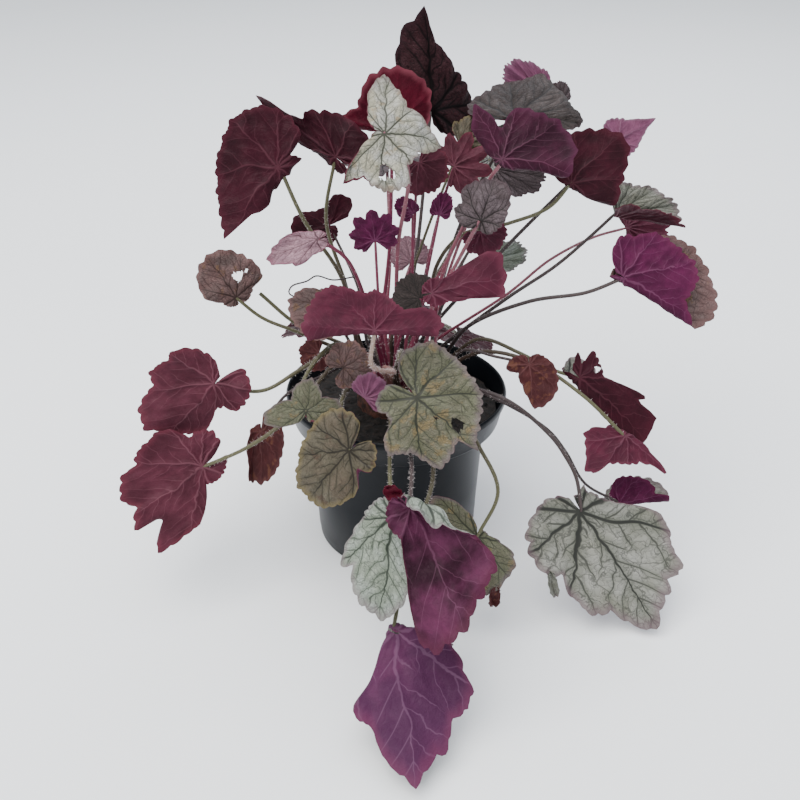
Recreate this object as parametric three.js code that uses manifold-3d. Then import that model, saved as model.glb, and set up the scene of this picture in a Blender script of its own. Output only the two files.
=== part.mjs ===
// A heuchera (coral bells) in its black nursery pot, with its compost, its woody crown and
// every leaf as a piece of its own.
// Millimetres, +Z up. The origin is the centre of the pot's underside, on the surface it
// stands on. +Y points to the back of the plant, so -Y is its front and +X its right.
import * as THREE from "three";
import { mergeVertices } from "three/addons/utils/BufferGeometryUtils.js";
import Module from "manifold-3d";

const wasm = await Module();
wasm.setup();

// ---------------------------------------------------------------------------------------
// Driving dimensions
// ---------------------------------------------------------------------------------------

const POT_HEIGHT = 100;
const RIM_RADIUS = 65;
const COLLAR_HEIGHT = 17;
const COLLAR_FOOT_RADIUS = 61.5;
const SHOULDER_RADIUS = 53;
const BASE_RADIUS = 48.5;
const POT_WALL = 1.6;
const POT_FLOOR = 2.5;
const POT_SEGMENTS = 36;
const DRAIN_HOLES = 6;
const DRAIN_RADIUS = 4;
const DRAIN_CIRCLE = 34;

const LIP_CHAMFER = 0.6;
const BASE_CHAMFER = 1;

const GAP = 0.4; // between two pieces that touch
const COMPOST_LEVEL = 88;
const CRUMB_HEIGHT = 1.6;
const CRUMB_RINGS = [49, 37]; // radii of the rows of points that the compost's top is made of
const CROWN_RADIUS = 24;
const CROWN_FOOT = 76;
const CROWN_TOP = 114.6;

const BLADE_THICKNESS = 0.7;
const BLADE_DOME = -0.05; // how far the margin drops, as a share of the leaf's length
const PLEAT = -0.03; // height of the pleats along the lobes of a blade that is not spread out
const PLEATED_BELOW = 1.2; // the spread at which a blade would have no pleats left
const MARGIN_WAVE = 0.035; // height of the margin's waves, as a share of the leaf's length
const MARGIN_WAVES = 5;
const WAVE_SHIFT = 2.4; // radians that the waves move along from one leaf to the next
const SOCKET_DEPTH = 8;
const SOCKET_END_ROOM = 0.3;
const PETIOLE_STEP = 21;

// Three rings of petioles stand on the crown round a pair at its middle. Each ring has its
// radius, its height, its number of places and how far its petioles lean out, in degrees.
const CROWN_RINGS = {
  outer: { radius: 19.5, height: 105, places: 26, lean: 48 },
  middle: { radius: 14, height: 110, places: 20, lean: 30 },
  inner: { radius: 7.2, height: 113, places: 9, lean: 14 },
  heart: { radius: 2, height: 114, places: 2, lean: 4 },
};
const CROWN_SEGMENTS = 16;
const SOCKET_SIDES = 5;

// A blade's size class: how finely its margin is cut, and its petiole.
const LARGE = { teeth: "fine", petiole: 1.3, sides: 4 };
const MIDDLE = { teeth: "plain", petiole: 1.25, sides: 3 };
const SMALL = { teeth: "plain", petiole: 1, sides: 3 };

// ---------------------------------------------------------------------------------------
// The planting: one row for each leaf
// ---------------------------------------------------------------------------------------
// name, size class, place on the crown [ring, place counted anticlockwise from the front],
// base of the blade, tip of the blade, the way its upper side faces [compass, height] in
// degrees (0 is right, 90 is back, -90 is front), the points its petiole passes, and its
// form: how far the fan of its lobes is spread, its width to the left and to the right of
// the midrib, how deep its lobes are cut, its outline, and its folds. An outline gives the
// reach of each lobe, and of each gap beside one, by its angle from the midrib. A fold is
// [direction in the blade from the midrib, where it starts, how far it turns towards the
// upper side, its radius]. Lengths are shares of the leaf.

// Side lobes turned back round the petiole, past an angle from the midrib on either side.
const wings = (left, right, turn = 110) => [
  [90 + left, 0.03, turn, 0.08],
  [-90 - right, 0.03, turn, 0.08],
];

const LEAVES = [
  // The top of the plant
  ["leaf_top_dark", MIDDLE, ["inner", 4], [20, 72, 243], [16, 84, 299.5], [-90, 15],
    [[12, 35, 170]],
    { wide: [1.2, 1.2], outline: [[-172, 0.12], [-140, 0.35], [-105, 0.52], [-66, 0.44],
      [-31, 0.5], [-10, 0.66], [0, 1], [18, 0.83], [33, 0.58], [43, 0.47], [90, 0.4], [150, 0.3],
      [172, 0.12]], folds: [[90, 0.02, -35, 0.1], [-90, 0.02, -35, 0.1]] }],
  ["leaf_red_round", MIDDLE, ["inner", 6], [-2, 47, 240], [1, 52, 273], [90, -15],
    [[-4, 26, 175]],
    { outline: [[-172, 0.12], [-120, 0.5], [-93, 0.73], [-81, 0.9], [-68, 0.7], [-51, 0.75],
      [-31, 0.93], [-15, 0.99], [0, 1], [38, 0.92], [62, 0.7], [89, 0.56], [120, 0.5],
      [172, 0.12]], folds: wings(95, 100) }],
  ["leaf_silver_top", LARGE, ["heart", 0], [-6, -20, 255], [30, -14, 249], [-95, 35],
    [[1, -9, 190], [6, -15, 236]],
    { outline: [[-172, 0.12], [-150, 0.2], [-135, 0.5], [-124, 1.04], [-112, 0.8], [-98, 0.79],
      [-78, 0.82], [-60, 0.8], [-49, 0.56], [-21, 0.56], [-8, 0.85], [0, 1], [13, 0.79],
      [28, 0.62], [52, 0.52], [72, 0.65], [91, 0.82], [111, 0.61], [128, 0.37], [156, 0.2],
      [172, 0.12]], folds: [[0, 0.4, -30, 0.3]] }],
  ["leaf_wine_hanging", SMALL, ["heart", 1], [12, 4, 233], [21, 3, 217], [90, -15],
    [[9, 4, 180], [11, 4, 222]],
    { spread: 0.8 }],
  ["leaf_wine_behind", SMALL, ["inner", 3], [31, 12, 228], [50, 19, 236], [90, -30],
    [[22, 10, 195]],
    { spread: 0.8, cut: 0.25 }],
  ["leaf_withered_small", SMALL, ["heart", 1.4], [36, 36, 233], [54, 42, 243], [-90, 40],
    [[17, 27, 185]],
    { spread: 0.5 }],
  ["leaf_upper_left_arch", MIDDLE, ["middle", 14], [-33, 20, 231], [-75, 34, 260], [90, -20],
    [[-29, 12, 160], [-39, 17, 196]],
    { wide: [0.55, 0.3], outline: [[-172, 0.12], [-60, 0.6], [0, 1], [4, 0.95], [8, 0.69],
      [26, 0.63], [51, 0.65], [67, 0.72], [81, 0.73], [112, 0.68], [123, 0.62], [135, 0.35],
      [172, 0.12]], folds: [[-90, 0.02, 150, 0.05]] }],
  ["leaf_upper_left_wine", LARGE, ["middle", 15], [-60, -10, 235], [-89, -20, 199], [90, -30],
    [[-30, 0, 168], [-49, -5, 204]],
    { spread: 1.1, outline: [[-172, 0.12], [-120, 0.45], [-60, 0.5], [-20, 0.7], [0, 1],
      [10, 0.9], [25, 0.72], [45, 0.66], [62, 0.66], [90, 0.7], [113, 0.66], [140, 0.55],
      [163, 0.42], [172, 0.12]], folds: [[-90, 0.03, 125, 0.08]] }],

  // The upper right
  ["leaf_purple_right", MIDDLE, ["middle", 4], [55, -15, 240], [83, -5, 257], [90, -30],
    [[25, -4, 170], [47, -8, 224]],
    { outline: [[-172, 0.12], [-110, 0.5], [-92, 0.8], [-84, 0.93], [-76, 0.78], [-66, 0.55],
      [-58, 0.45], [-50, 0.68], [-39, 0.8], [-17, 0.86], [0, 1], [29, 1.1], [38, 1.05], [60, 0.9],
      [120, 0.6], [172, 0.12]], folds: wings(38, 92) }],
  ["leaf_dark_arch", MIDDLE, ["middle", 7], [65, 34, 248], [110, 42, 258], [-90, 70],
    [[36, 24, 190]],
    { spread: 0.9, wide: [1, 0.5], folds: [[0, 0.6, -75, 0.2]] }],
  ["leaf_pink_top", SMALL, ["middle", 9], [87, 80, 251], [62, 82, 267], [90, -20],
    [[46, 50, 190], [72, 68, 234]],
    { spread: 0.5, wide: [0.6, 0.6] }],
  ["leaf_bud_top", SMALL, ["middle", 8], [94, 64, 250], [93, 66, 262], [-90, 20],
    [[54, 48, 185]],
    { spread: 0.5, wide: [0.8, 0.8] }],
  ["leaf_right_dark", MIDDLE, ["middle", 6], [94, 5, 222], [119, 12, 246], [90, -25],
    [[22, 5, 172], [36, 5, 192], [62, 5, 199], [83, 5, 208]],
    { outline: [[-172, 0.12], [-120, 0.4], [-95, 0.7], [-87, 0.8], [-70, 0.6], [-50, 0.7],
      [-18, 0.89], [0, 1], [15, 0.98], [30, 0.85], [41, 0.8], [50, 0.74], [67, 0.77], [100, 0.6],
      [172, 0.12]], folds: wings(64, 92) }],
  ["leaf_right_pink", MIDDLE, ["outer", 11], [127, 61, 229], [149, 66, 240], [90, -20],
    [[60, 42, 165], [103, 56, 206]],
    { outline: [[-172, 0.12], [-90, 0.5], [-30, 0.55], [-12, 0.75], [0, 1.05], [12, 0.75],
      [30, 0.6], [90, 0.45], [172, 0.12]] }],

  // The right side
  ["leaf_right_silver", MIDDLE, ["outer", 9], [126, 35, 194], [168, 35, 187], [-90, 70],
    [[65, 12, 152], [92, 22, 167], [113, 30, 183]],
    { spread: 0.6, wide: [0.65, 0.8], folds: [[90, 0, 50, 0.1], [-90, 0, 60, 0.1]] }],
  ["leaf_right_pink_low", SMALL, ["outer", 10], [138, 55, 178], [166, 64, 178], [90, -50],
    [[66, 26, 148], [92, 40, 164], [118, 50, 174]],
    { spread: 0.6, wide: [0.8, 0.8] }],
  ["leaf_right_purple", LARGE, ["outer", 8], [124, -12, 174], [161, -20, 154], [90, -30],
    [[42, 3, 138], [75, -3, 156], [105, -9, 164]],
    { outline: [[-172, 0.12], [-136, 0.38], [-112, 0.5], [-86, 0.7], [-54, 0.84], [-43, 0.98],
      [-31, 1.03], [-20, 1], [-12, 0.9], [0, 1], [8, 1.3], [20, 1.42], [33, 1.38], [47, 1.25],
      [58, 1.12], [75, 0.92], [95, 0.75], [140, 0.4], [172, 0.12]], folds:
      [[90, 0, 174, 0.05]] }],
  ["leaf_silver_right", SMALL, ["middle", 5], [54, 14, 226], [83, 18, 221], [-90, 35],
    [[27, 5, 160], [42, 13, 202]],
    { spread: 0.6, wide: [0.65, 0.65] }],
  ["leaf_silver_centre", MIDDLE, ["inner", 1], [43, -24, 210.5], [51, -17, 231], [-105, 35],
    [[24, -14, 165]],
    { outline: [[-172, 0.14], [-120, 0.4], [-79, 0.54], [-50, 0.7], [-22, 1], [0, 1], [30, 0.9],
      [51, 0.84], [67, 0.6], [82, 0.69], [110, 0.5], [172, 0.14]] }],
  ["leaf_wine_fold", SMALL, ["middle", 3], [45, -10, 200], [56, -8, 189], [90, -10],
    [[24, -8, 150], [37, -10, 184]],
    { spread: 0.8 }],
  ["leaf_pale_small", SMALL, ["outer", 12], [53, 46, 160], [80, 52, 166], [-90, 40],
    [[27, 44, 136]],
    { spread: 0.55, wide: [0.55, 0.55] }],
  ["leaf_wine_right", MIDDLE, ["middle", 2], [19, -45, 179.5], [57, -42, 188], [90, -30],
    [[18, -28, 150]],
    { outline: [[-172, 0.14], [-120, 0.17], [-70, 0.2], [-40, 0.24], [-30, 0.45], [-24, 0.9],
      [-17, 1.03], [0, 1], [8, 1], [17, 0.92], [22, 0.5], [40, 0.24], [70, 0.2], [120, 0.17],
      [172, 0.14]] }],

  // The young leaves in the middle
  ["leaf_dark_centre", SMALL, ["middle", 1], [13, -26, 168], [0, -20, 175], [-90, 35],
    [[9, -24, 138]],
    { spread: 0.8 }],
  ["leaf_magenta_small", SMALL, ["inner", 8], [-11, -13, 196], [-13, -12, 213], [90, -15],
    [[-9, -13, 150]],
    { spread: 0.8, cut: 0.3 }],
  ["leaf_magenta_middle", SMALL, ["inner", 0], [9, -4, 207], [0, -2, 215], [90, -30],
    [[8, -8, 160]],
    { spread: 0.6, wide: [0.7, 0.7] }],
  ["leaf_wine_young", SMALL, ["inner", 2], [23, -5, 207], [27, -2, 219], [90, -20],
    [[15, -3, 160]],
    { spread: 0.6, wide: [0.65, 0.65] }],
  ["leaf_young_back", SMALL, ["inner", 5], [9, 46, 160], [5, 50, 175], [-90, 20],
    [[-1, 22, 138]],
    { spread: 0.7 }],
  ["leaf_maroon_left", SMALL, ["middle", 13], [-39, 40, 185], [-62, 40, 178], [90, -20],
    [[-22, 26, 150]],
    { outline: [[-172, 0.12], [-90, 0.4], [-45, 0.7], [0, 1], [30, 0.9], [60, 0.5], [90, 0.45],
      [120, 0.8], [150, 0.85], [172, 0.5]] }],
  ["leaf_pink_left", MIDDLE, ["inner", 7], [-40, -25, 201], [-67, -33, 194], [-90, 35],
    [[-15, -6, 150], [-26, -16, 186]],
    { wide: [0.6, 0.6], outline: [[-172, 0.15], [-75, 0.3], [-50, 0.6], [-25, 0.78], [0, 1],
      [16, 0.98], [30, 0.8], [50, 0.74], [65, 0.45], [120, 0.25], [172, 0.12]] }],

  // The middle of the front, over the rim
  ["leaf_wine_centre", LARGE, ["middle", 19], [-10, -82, 176], [-10, -72, 193.5], [90, -30],
    [[-1, -42, 132], [-12, -68, 150]],
    { outline: [[-172, 0.12], [-110, 1.2], [-87, 1.75], [-62, 1.69], [-49, 1.62], [-38, 1.4],
      [-28, 1.12], [-15, 0.93], [0, 1], [19, 0.93], [39, 0.83], [56, 0.9], [61, 1.14], [65, 1.36],
      [76, 1.62], [84, 1.7], [96, 1.48], [130, 0.9], [172, 0.12]], folds: wings(88, 86) }],
  ["leaf_front_big", LARGE, ["middle", 0], [10, -80, 139], [41, -98, 118], [-90, 35],
    [[3, -38, 142], [2, -62, 149]],
    { outline: [[-172, 0.12], [-165, 0.35], [-137, 0.47], [-121, 0.52], [-100, 0.42], [-90, 0.47],
      [-85, 0.66], [-74, 0.81], [-55, 0.71], [-42, 0.79], [-32, 0.95], [-24, 0.92], [-12, 0.8],
      [-5, 0.77], [0, 1], [7, 0.92], [20, 0.85], [42, 0.82], [65, 0.72], [93, 0.68], [116, 0.72],
      [150, 0.55], [165, 0.4], [172, 0.12]] }],
  ["leaf_magenta_front", SMALL, ["middle", 18], [-16, -60, 126], [-6, -60, 138], [90, -30],
    [[-12, -38, 126]],
    { spread: 0.6 }],
  ["leaf_brown_rim", SMALL, ["middle", 17], [-28, -48, 138], [-14, -47, 146], [-90, 35],
    [[-22, -26, 132]],
    { spread: 0.9 }],
  ["leaf_bronze_left", SMALL, ["middle", 16], [-32, -36, 168], [-57, -36, 172], [-90, 35],
    [[-27, -14, 138]],
    { spread: 0.8 }],
  ["leaf_russet_rim", SMALL, ["outer", 19], [-44, -8, 126], [-55, -8, 120], [90, -20],
    [[-32, -1, 120]],
    { spread: 0.8 }],
  ["leaf_olive_small", MIDDLE, ["outer", 23], [-46, -74, 126], [-43, -66, 142], [-90, 35],
    [[-32, -30, 143], [-48, -52, 134]],
    { outline: [[-172, 0.12], [-130, 0.5], [-100, 0.9], [-87, 1], [-63, 1.05], [-38, 0.62],
      [0, 1], [35, 0.8], [60, 0.55], [85, 0.9], [105, 1.3], [118, 1.25], [140, 0.6],
      [172, 0.12]] }],
  ["leaf_olive_big", LARGE, ["outer", 24], [-23, -90, 113], [-46, -95, 84], [-90, 35],
    [[-22, -32, 120], [-29, -60, 122]],
    { outline: [[-172, 0.12], [-160, 0.4], [-148, 0.51], [-119, 0.63], [-85, 0.63], [-62, 0.68],
      [-36, 0.79], [-14, 1], [0, 1], [10, 1], [28, 0.81], [60, 0.49], [111, 0.39], [154, 0.35],
      [172, 0.12]] }],

  // The left side
  ["leaf_left_brown", MIDDLE, ["outer", 18], [-91, 5, 154.5], [-107, 12, 178], [-90, 30],
    [[-55, 5, 132], [-77, 5, 142]],
    { outline: [[-172, 0.12], [-110, 0.3], [-92, 0.4], [-85, 0.68], [-63, 0.79], [-40, 0.88],
      [-19, 0.98], [0, 1], [20, 0.94], [37, 0.79], [59, 0.6], [75, 0.3], [120, 0.2],
      [172, 0.12]] }],
  ["leaf_left_wine_high", LARGE, ["outer", 21], [-99, -40, 123], [-130, -48, 90], [90, -25],
    [[-29, -15, 135], [-53, -28, 126], [-74, -36, 117]],
    { outline: [[-172, 0.12], [-165, 0.42], [-137, 0.46], [-108, 0.45], [-82, 0.41], [-65, 0.285],
      [-44, 0.31], [-33, 0.545], [-15, 0.69], [7, 0.91], [15, 1.03], [30, 0.99], [36, 0.92],
      [45, 0.76], [56, 0.82], [66, 0.75], [74, 0.63], [81, 0.66], [96, 0.585], [112, 0.49],
      [132, 0.36], [151, 0.22], [172, 0.12]] }],
  ["leaf_left_wine_low", LARGE, ["outer", 22], [-106, -60, 82.5], [-146, -75, 58], [90, -25],
    [[-28, -25, 133], [-62, -55, 107], [-81, -60, 95]],
    { outline: [[-172, 0.3], [-138, 0.26], [-110, 0.23], [-66, 0.2], [-58, 0.45], [-52, 0.65],
      [-42, 0.76], [-35, 0.93], [-27, 1.09], [-21, 1.0], [-17, 0.6], [-13, 0.62], [-8, 1.08],
      [5, 0.86], [11, 0.97], [20, 0.97], [31, 0.9], [38, 0.75], [49, 0.76], [60, 0.68],
      [77, 0.64], [93, 0.49], [101, 0.36], [111, 0.4], [141, 0.44], [162, 0.35], [172, 0.12]] }],
  ["leaf_left_russet", SMALL, ["outer", 20], [-75, -42, 95], [-77, -46, 61], [90, -25],
    [[-40, -15, 116], [-62, -31, 111]],
    { wide: [0.9, 0.55], outline: [[-172, 0.3], [-110, 0.6], [-60, 0.75], [-20, 0.9], [0, 1],
      [25, 0.95], [50, 0.6], [80, 0.3], [110, 0.15], [172, 0.12]], folds:
      [[90, 0.1, -115, 0.08]] }],

  // The right front, over the rim
  ["leaf_right_russet", SMALL, ["outer", 5], [72, -38, 135], [74, -50, 112], [90, 10],
    [[38, -20, 134], [55, -28, 134]],
    { outline: [[-172, 0.12], [-100, 0.4], [-68, 0.62], [-46, 0.8], [-20, 0.93], [-4, 1],
      [5, 0.77], [21, 0.48], [54, 0.3], [80, 0.5], [96, 0.45], [130, 0.3], [172, 0.12]] }],
  ["leaf_right_wine_high", MIDDLE, ["outer", 7], [102, -28, 120.5], [142, -38, 86], [90, -30],
    [[48, -6, 134], [70, -14, 129], [86, -21, 123]],
    { outline: [[-172, 0.12], [-145, 0.2], [-136, 0.3], [-125, 0.15], [-112, 0.2], [-107, 0.33],
      [-90, 0.3], [-78, 0.27], [-42, 0.27], [-31, 0.54], [-25, 0.78], [-20, 0.7], [-15, 0.92],
      [-7, 0.97], [0, 0.96], [6, 1], [20, 0.9], [60, 0.6], [120, 0.4], [172, 0.12]], folds:
      [[98, 0, 140, 0.05]] }],
  ["leaf_right_wine_low", MIDDLE, ["outer", 6], [124, -56, 100], [107, -70, 82], [90, -45],
    [[50, -16, 131], [76, -30, 131], [102, -46, 119]],
    { outline: [[-172, 0.12], [-110, 0.3], [-92, 0.6], [-88, 0.87], [-82, 1.12], [-78, 0.75],
      [-65, 0.6], [-35, 0.55], [-19, 0.55], [-5, 0.65], [4, 0.98], [12, 1.05], [25, 0.85],
      [42, 0.78], [58, 0.79], [68, 0.67], [78, 0.4], [110, 0.3], [172, 0.12]], folds:
      wings(80, 90) }],
  ["leaf_right_small", SMALL, ["outer", 4], [132, -34, 40], [160, -38, 48], [90, -30],
    [[57, -40, 113], [84, -42, 96], [96, -40, 80], [110, -38, 56]],
    { outline: [[-172, 0.15], [-112, 0.3], [-80, 0.52], [-48, 0.63], [-21, 0.78], [-6, 0.78],
      [0, 1], [18, 1.02], [39, 0.95], [71, 0.78], [83, 0.68], [120, 0.5], [172, 0.2]], folds:
      [[90, 0.02, 150, 0.05]] }],
  ["leaf_right_big_silver", LARGE, ["outer", 3], [102, -70, 60], [146, -106, 6], [-90, 40],
    [[58, -52, 121], [83, -60, 103], [92, -63, 91], [98, -67, 80]],
    { outline: [[-172, 0.12], [-140, 0.28], [-122, 0.33], [-106, 0.42], [-97, 0.45], [-81, 0.49],
      [-62, 0.52], [-52, 0.48], [-45, 0.56], [-33, 0.71], [-23, 0.76], [-17, 0.74], [-11, 0.87],
      [-3, 1], [4, 0.91], [13, 0.86], [19, 0.81], [24, 0.87], [28, 0.84], [36, 0.71], [48, 0.64],
      [54, 0.59], [60, 0.45], [70, 0.25], [90, 0.17], [130, 0.15], [138, 0.2], [150, 0.12],
      [172, 0.12]] }],

  // The front, hanging before the pot
  ["leaf_front_silver", LARGE, ["outer", 25], [-2, -116, 89], [-8, -150, 52.5], [-100, 40],
    [[-3, -60, 114], [-3, -92, 104]],
    { outline: [[-172, 0.12], [-155, 0.25], [-117, 0.26], [-85, 0.3], [-63, 0.43], [-47, 0.65],
      [-39, 0.69], [-34, 0.6], [-24, 0.78], [-12, 0.9], [3, 1], [10, 0.91], [23, 0.7], [39, 0.45],
      [75, 0.26], [137, 0.22], [172, 0.12]] }],
  ["leaf_front_plum", LARGE, ["outer", 0], [7, -125, 103], [34, -164, 61], [90, -30],
    [[4, -60, 115], [8, -92, 108]],
    { outline: [[-172, 0.12], [-100, 0.35], [-60, 0.5], [-40, 0.6], [-33, 0.78], [-25, 0.82],
      [-11, 0.88], [0, 1], [9, 1.06], [16, 1.11], [21, 1.05], [25, 0.8], [29, 0.5], [40, 0.25],
      [172, 0.12]], folds: [[-126, 0, -150, 0.08]] }],
  ["leaf_front_right_silver", MIDDLE, ["outer", 2], [43, -95, 62], [40, -107, 30], [-90, 30],
    [[28, -50, 122], [43, -76, 107], [53, -90, 88]],
    { outline: [[-172, 0.15], [-155, 0.42], [-138, 0.78], [-125, 0.96], [-108, 0.85], [-90, 0.85],
      [-45, 0.9], [0, 1], [23, 0.98], [38, 0.85], [54, 0.8], [68, 0.67], [79, 0.4], [100, 0.18],
      [172, 0.1]] }],
  ["leaf_lowest_plum", LARGE, ["outer", 1], [-1, -141, 41], [9.5, -207, 3], [90, -55],
    [[15, -60, 121], [19, -92, 97], [7, -114, 70]],
    { outline: [[-172, 0.12], [-110, 0.3], [-62, 0.42], [-51, 0.55], [-43, 0.65], [-34, 0.71],
      [-27, 0.69], [-23, 0.71], [-17, 0.83], [-9, 0.88], [-3, 0.97], [0, 1], [4, 0.96],
      [11, 0.86], [14, 0.76], [20, 0.66], [28, 0.63], [35, 0.5], [80, 0.3], [172, 0.12]], folds:
      wings(29, 62) }],

  // The back
  ["leaf_back_right_high", MIDDLE, ["middle", 10], [58, 96, 208], [86, 116, 216], [-60, 75],
    [[30, 50, 160]]],
  ["leaf_back_high", MIDDLE, ["middle", 11], [-6, 98, 206], [-14, 130, 210], [90, 75],
    [[-4, 50, 160]]],
  ["leaf_back_left_low", MIDDLE, ["outer", 15], [-45, 80, 108], [-62, 102, 84], [120, 40],
    [[-26, 44, 120]]],
  ["leaf_back_low", MIDDLE, ["outer", 14], [-2, 98, 106], [-2, 126, 84], [90, 40],
    [[-5, 52, 121]]],
  ["leaf_back_right_low", MIDDLE, ["outer", 13], [42, 86, 92], [52, 104, 70], [60, 40],
    [[22, 50, 117]]],
];

// A petiole that has lost its blade: place on the crown, the points it passes, its end.
const BARE_PETIOLE = {
  place: ["outer", 17],
  by: [[-58, 13, 134]],
  end: [-79, 15, 153],
  petiole: 1.1,
  sides: 5,
};

// ---------------------------------------------------------------------------------------
// Small helpers
// ---------------------------------------------------------------------------------------

const rad = THREE.MathUtils.degToRad;
const vec = (p) => new THREE.Vector3(...p);

// A unit vector from a compass direction and a height above the horizontal, in degrees.
function compass(direction, height) {
  const flat = Math.cos(rad(height));
  return new THREE.Vector3(
    flat * Math.cos(rad(direction)),
    flat * Math.sin(rad(direction)),
    Math.sin(rad(height)),
  );
}

function toSolid(geometry) {
  const bare = geometry.index ? geometry.toNonIndexed() : geometry.clone();
  bare.deleteAttribute("normal");
  bare.deleteAttribute("uv");
  const merged = mergeVertices(bare, 1e-3);
  return new wasm.Manifold(
    new wasm.Mesh({
      numProp: 3,
      vertProperties: merged.attributes.position.array,
      triVerts: new Uint32Array(merged.index.array),
    }),
  );
}

function toGeometry(solid) {
  const mesh = solid.getMesh();
  const geometry = new THREE.BufferGeometry();
  geometry.setAttribute("position", new THREE.BufferAttribute(mesh.vertProperties, 3));
  geometry.setIndex(new THREE.BufferAttribute(mesh.triVerts, 1));
  geometry.computeVertexNormals();
  return geometry;
}

// A solid turned about +Z from [radius, height] points that run from the axis back to it,
// anticlockwise as seen with the axis on the left.
function turned(points, segments) {
  const profile = points.map(([r, z]) => new THREE.Vector2(r, z));
  return new THREE.LatheGeometry(profile, segments).rotateX(Math.PI / 2);
}

// A round bar of few sides along a smooth curve through the points.
function rod(points, radius, sides, steps) {
  const section = new THREE.Shape();
  for (let i = 0; i < sides; i += 1) {
    const turn = (2 * Math.PI * i) / sides;
    const x = radius * Math.cos(turn);
    const y = radius * Math.sin(turn);
    if (i === 0) section.moveTo(x, y);
    else section.lineTo(x, y);
  }
  section.closePath();
  const path = new THREE.CatmullRomCurve3(points, false, "centripetal");
  return new THREE.ExtrudeGeometry(section, { extrudePath: path, steps });
}

// A piece, as a mesh with its own finish.
function piece(name, geometry, { color, roughness }) {
  const material = new THREE.MeshStandardMaterial({ color, roughness, metalness: 0 });
  const mesh = new THREE.Mesh(geometry, material);
  mesh.name = name;
  return mesh;
}

const FINISH = {
  pot: { color: 0x17181a, roughness: 0.45 },
  compost: { color: 0x1d1510, roughness: 0.95 },
  crown: { color: 0x4a3026, roughness: 0.85 },
  leaf: { color: 0x6b2440, roughness: 0.6 },
};

// ---------------------------------------------------------------------------------------
// Pot and compost
// ---------------------------------------------------------------------------------------

const COLLAR_FOOT = POT_HEIGHT - COLLAR_HEIGHT;

function potGeometry() {
  const inner = (radius) => radius - POT_WALL;
  const shell = toSolid(
    turned(
      [
        [0, 0],
        [BASE_RADIUS - BASE_CHAMFER, 0],
        [BASE_RADIUS, BASE_CHAMFER],
        [SHOULDER_RADIUS, COLLAR_FOOT],
        [COLLAR_FOOT_RADIUS, COLLAR_FOOT],
        [RIM_RADIUS, POT_HEIGHT - 2 * LIP_CHAMFER],
        [RIM_RADIUS - LIP_CHAMFER, POT_HEIGHT],
        [inner(RIM_RADIUS), POT_HEIGHT - LIP_CHAMFER],
        [inner(COLLAR_FOOT_RADIUS), COLLAR_FOOT + POT_WALL],
        [inner(SHOULDER_RADIUS), COLLAR_FOOT],
        [inner(BASE_RADIUS), POT_FLOOR],
        [0, POT_FLOOR],
      ],
      POT_SEGMENTS,
    ),
  );
  const drains = [];
  for (let i = 0; i < DRAIN_HOLES; i += 1) {
    const at = compass((360 * i) / DRAIN_HOLES, 0).multiplyScalar(DRAIN_CIRCLE);
    const drill = new THREE.CylinderGeometry(DRAIN_RADIUS, DRAIN_RADIUS, 4 * POT_FLOOR, 8);
    drains.push(toSolid(drill.rotateX(Math.PI / 2).translate(at.x, at.y, 0)));
  }
  return toGeometry(drains.reduce((pot, drain) => pot.subtract(drain), shell));
}

// The compost fills the pot, with a crumbly top and a plain hole that the crown stands in.
function compostGeometry() {
  const clear = POT_WALL + GAP;
  const hole = CROWN_RADIUS + GAP;
  const geometry = turned(
    [
      [0, POT_FLOOR + GAP],
      [BASE_RADIUS - clear - 0.2, POT_FLOOR + GAP],
      [SHOULDER_RADIUS - clear - 0.2, COLLAR_FOOT + GAP],
      [COLLAR_FOOT_RADIUS - clear - 0.6, COLLAR_FOOT + clear],
      [COLLAR_FOOT_RADIUS - clear - 0.3, COMPOST_LEVEL - 2],
      ...CRUMB_RINGS.map((radius) => [radius, COMPOST_LEVEL]),
      [hole, COMPOST_LEVEL],
      [hole, CROWN_FOOT - GAP],
      [0, CROWN_FOOT - GAP],
    ],
    POT_SEGMENTS,
  );
  const at = geometry.attributes.position;
  for (let i = 0; i < at.count; i += 1) {
    if (at.getZ(i) < COMPOST_LEVEL - 0.1) continue;
    const x = at.getX(i);
    const y = at.getY(i);
    const crumbs = Math.sin(0.31 * x + 1.1) * Math.cos(0.37 * y) + 0.6 * Math.sin(0.9 * (x + y));
    at.setZ(i, COMPOST_LEVEL + CRUMB_HEIGHT * crumbs);
  }
  return geometry;
}

// ---------------------------------------------------------------------------------------
// Crown
// ---------------------------------------------------------------------------------------

// Where a petiole's socket opens on the crown, and the way the socket points.
function socket([ringName, place]) {
  const ring = CROWN_RINGS[ringName];
  const direction = -90 + (360 * place) / ring.places;
  const mouth = compass(direction, 0).multiplyScalar(ring.radius).setZ(ring.height);
  return { mouth, out: compass(direction, 90 - ring.lean) };
}

// The straight root of a petiole, from the foot of its socket to well clear of the crown.
// It is as long as a petiole's longest facet.
function petioleRoot(place) {
  const { mouth, out } = socket(place);
  return [-SOCKET_DEPTH, 0, SOCKET_DEPTH, PETIOLE_STEP - SOCKET_DEPTH + 2].map((along) =>
    mouth.clone().addScaledVector(out, along),
  );
}

function crownGeometry(stems) {
  const body = turned(
    [
      [0, CROWN_FOOT],
      [CROWN_RADIUS, CROWN_FOOT],
      [CROWN_RADIUS - 1, 100],
      [17, 108.5],
      [9, 113],
      [0, CROWN_TOP],
    ],
    CROWN_SEGMENTS,
  );
  return toGeometry(
    stems.reduce((crown, { place, radius }) => {
      const { mouth, out } = socket(place);
      const ends = [-SOCKET_DEPTH - SOCKET_END_ROOM, SOCKET_DEPTH / 2].map((along) =>
        mouth.clone().addScaledVector(out, along),
      );
      const corner = (radius + GAP) / Math.cos(Math.PI / SOCKET_SIDES);
      const drill = rod(ends, corner, SOCKET_SIDES, 1);
      return crown.subtract(toSolid(drill));
    }, toSolid(body)),
  );
}

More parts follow.
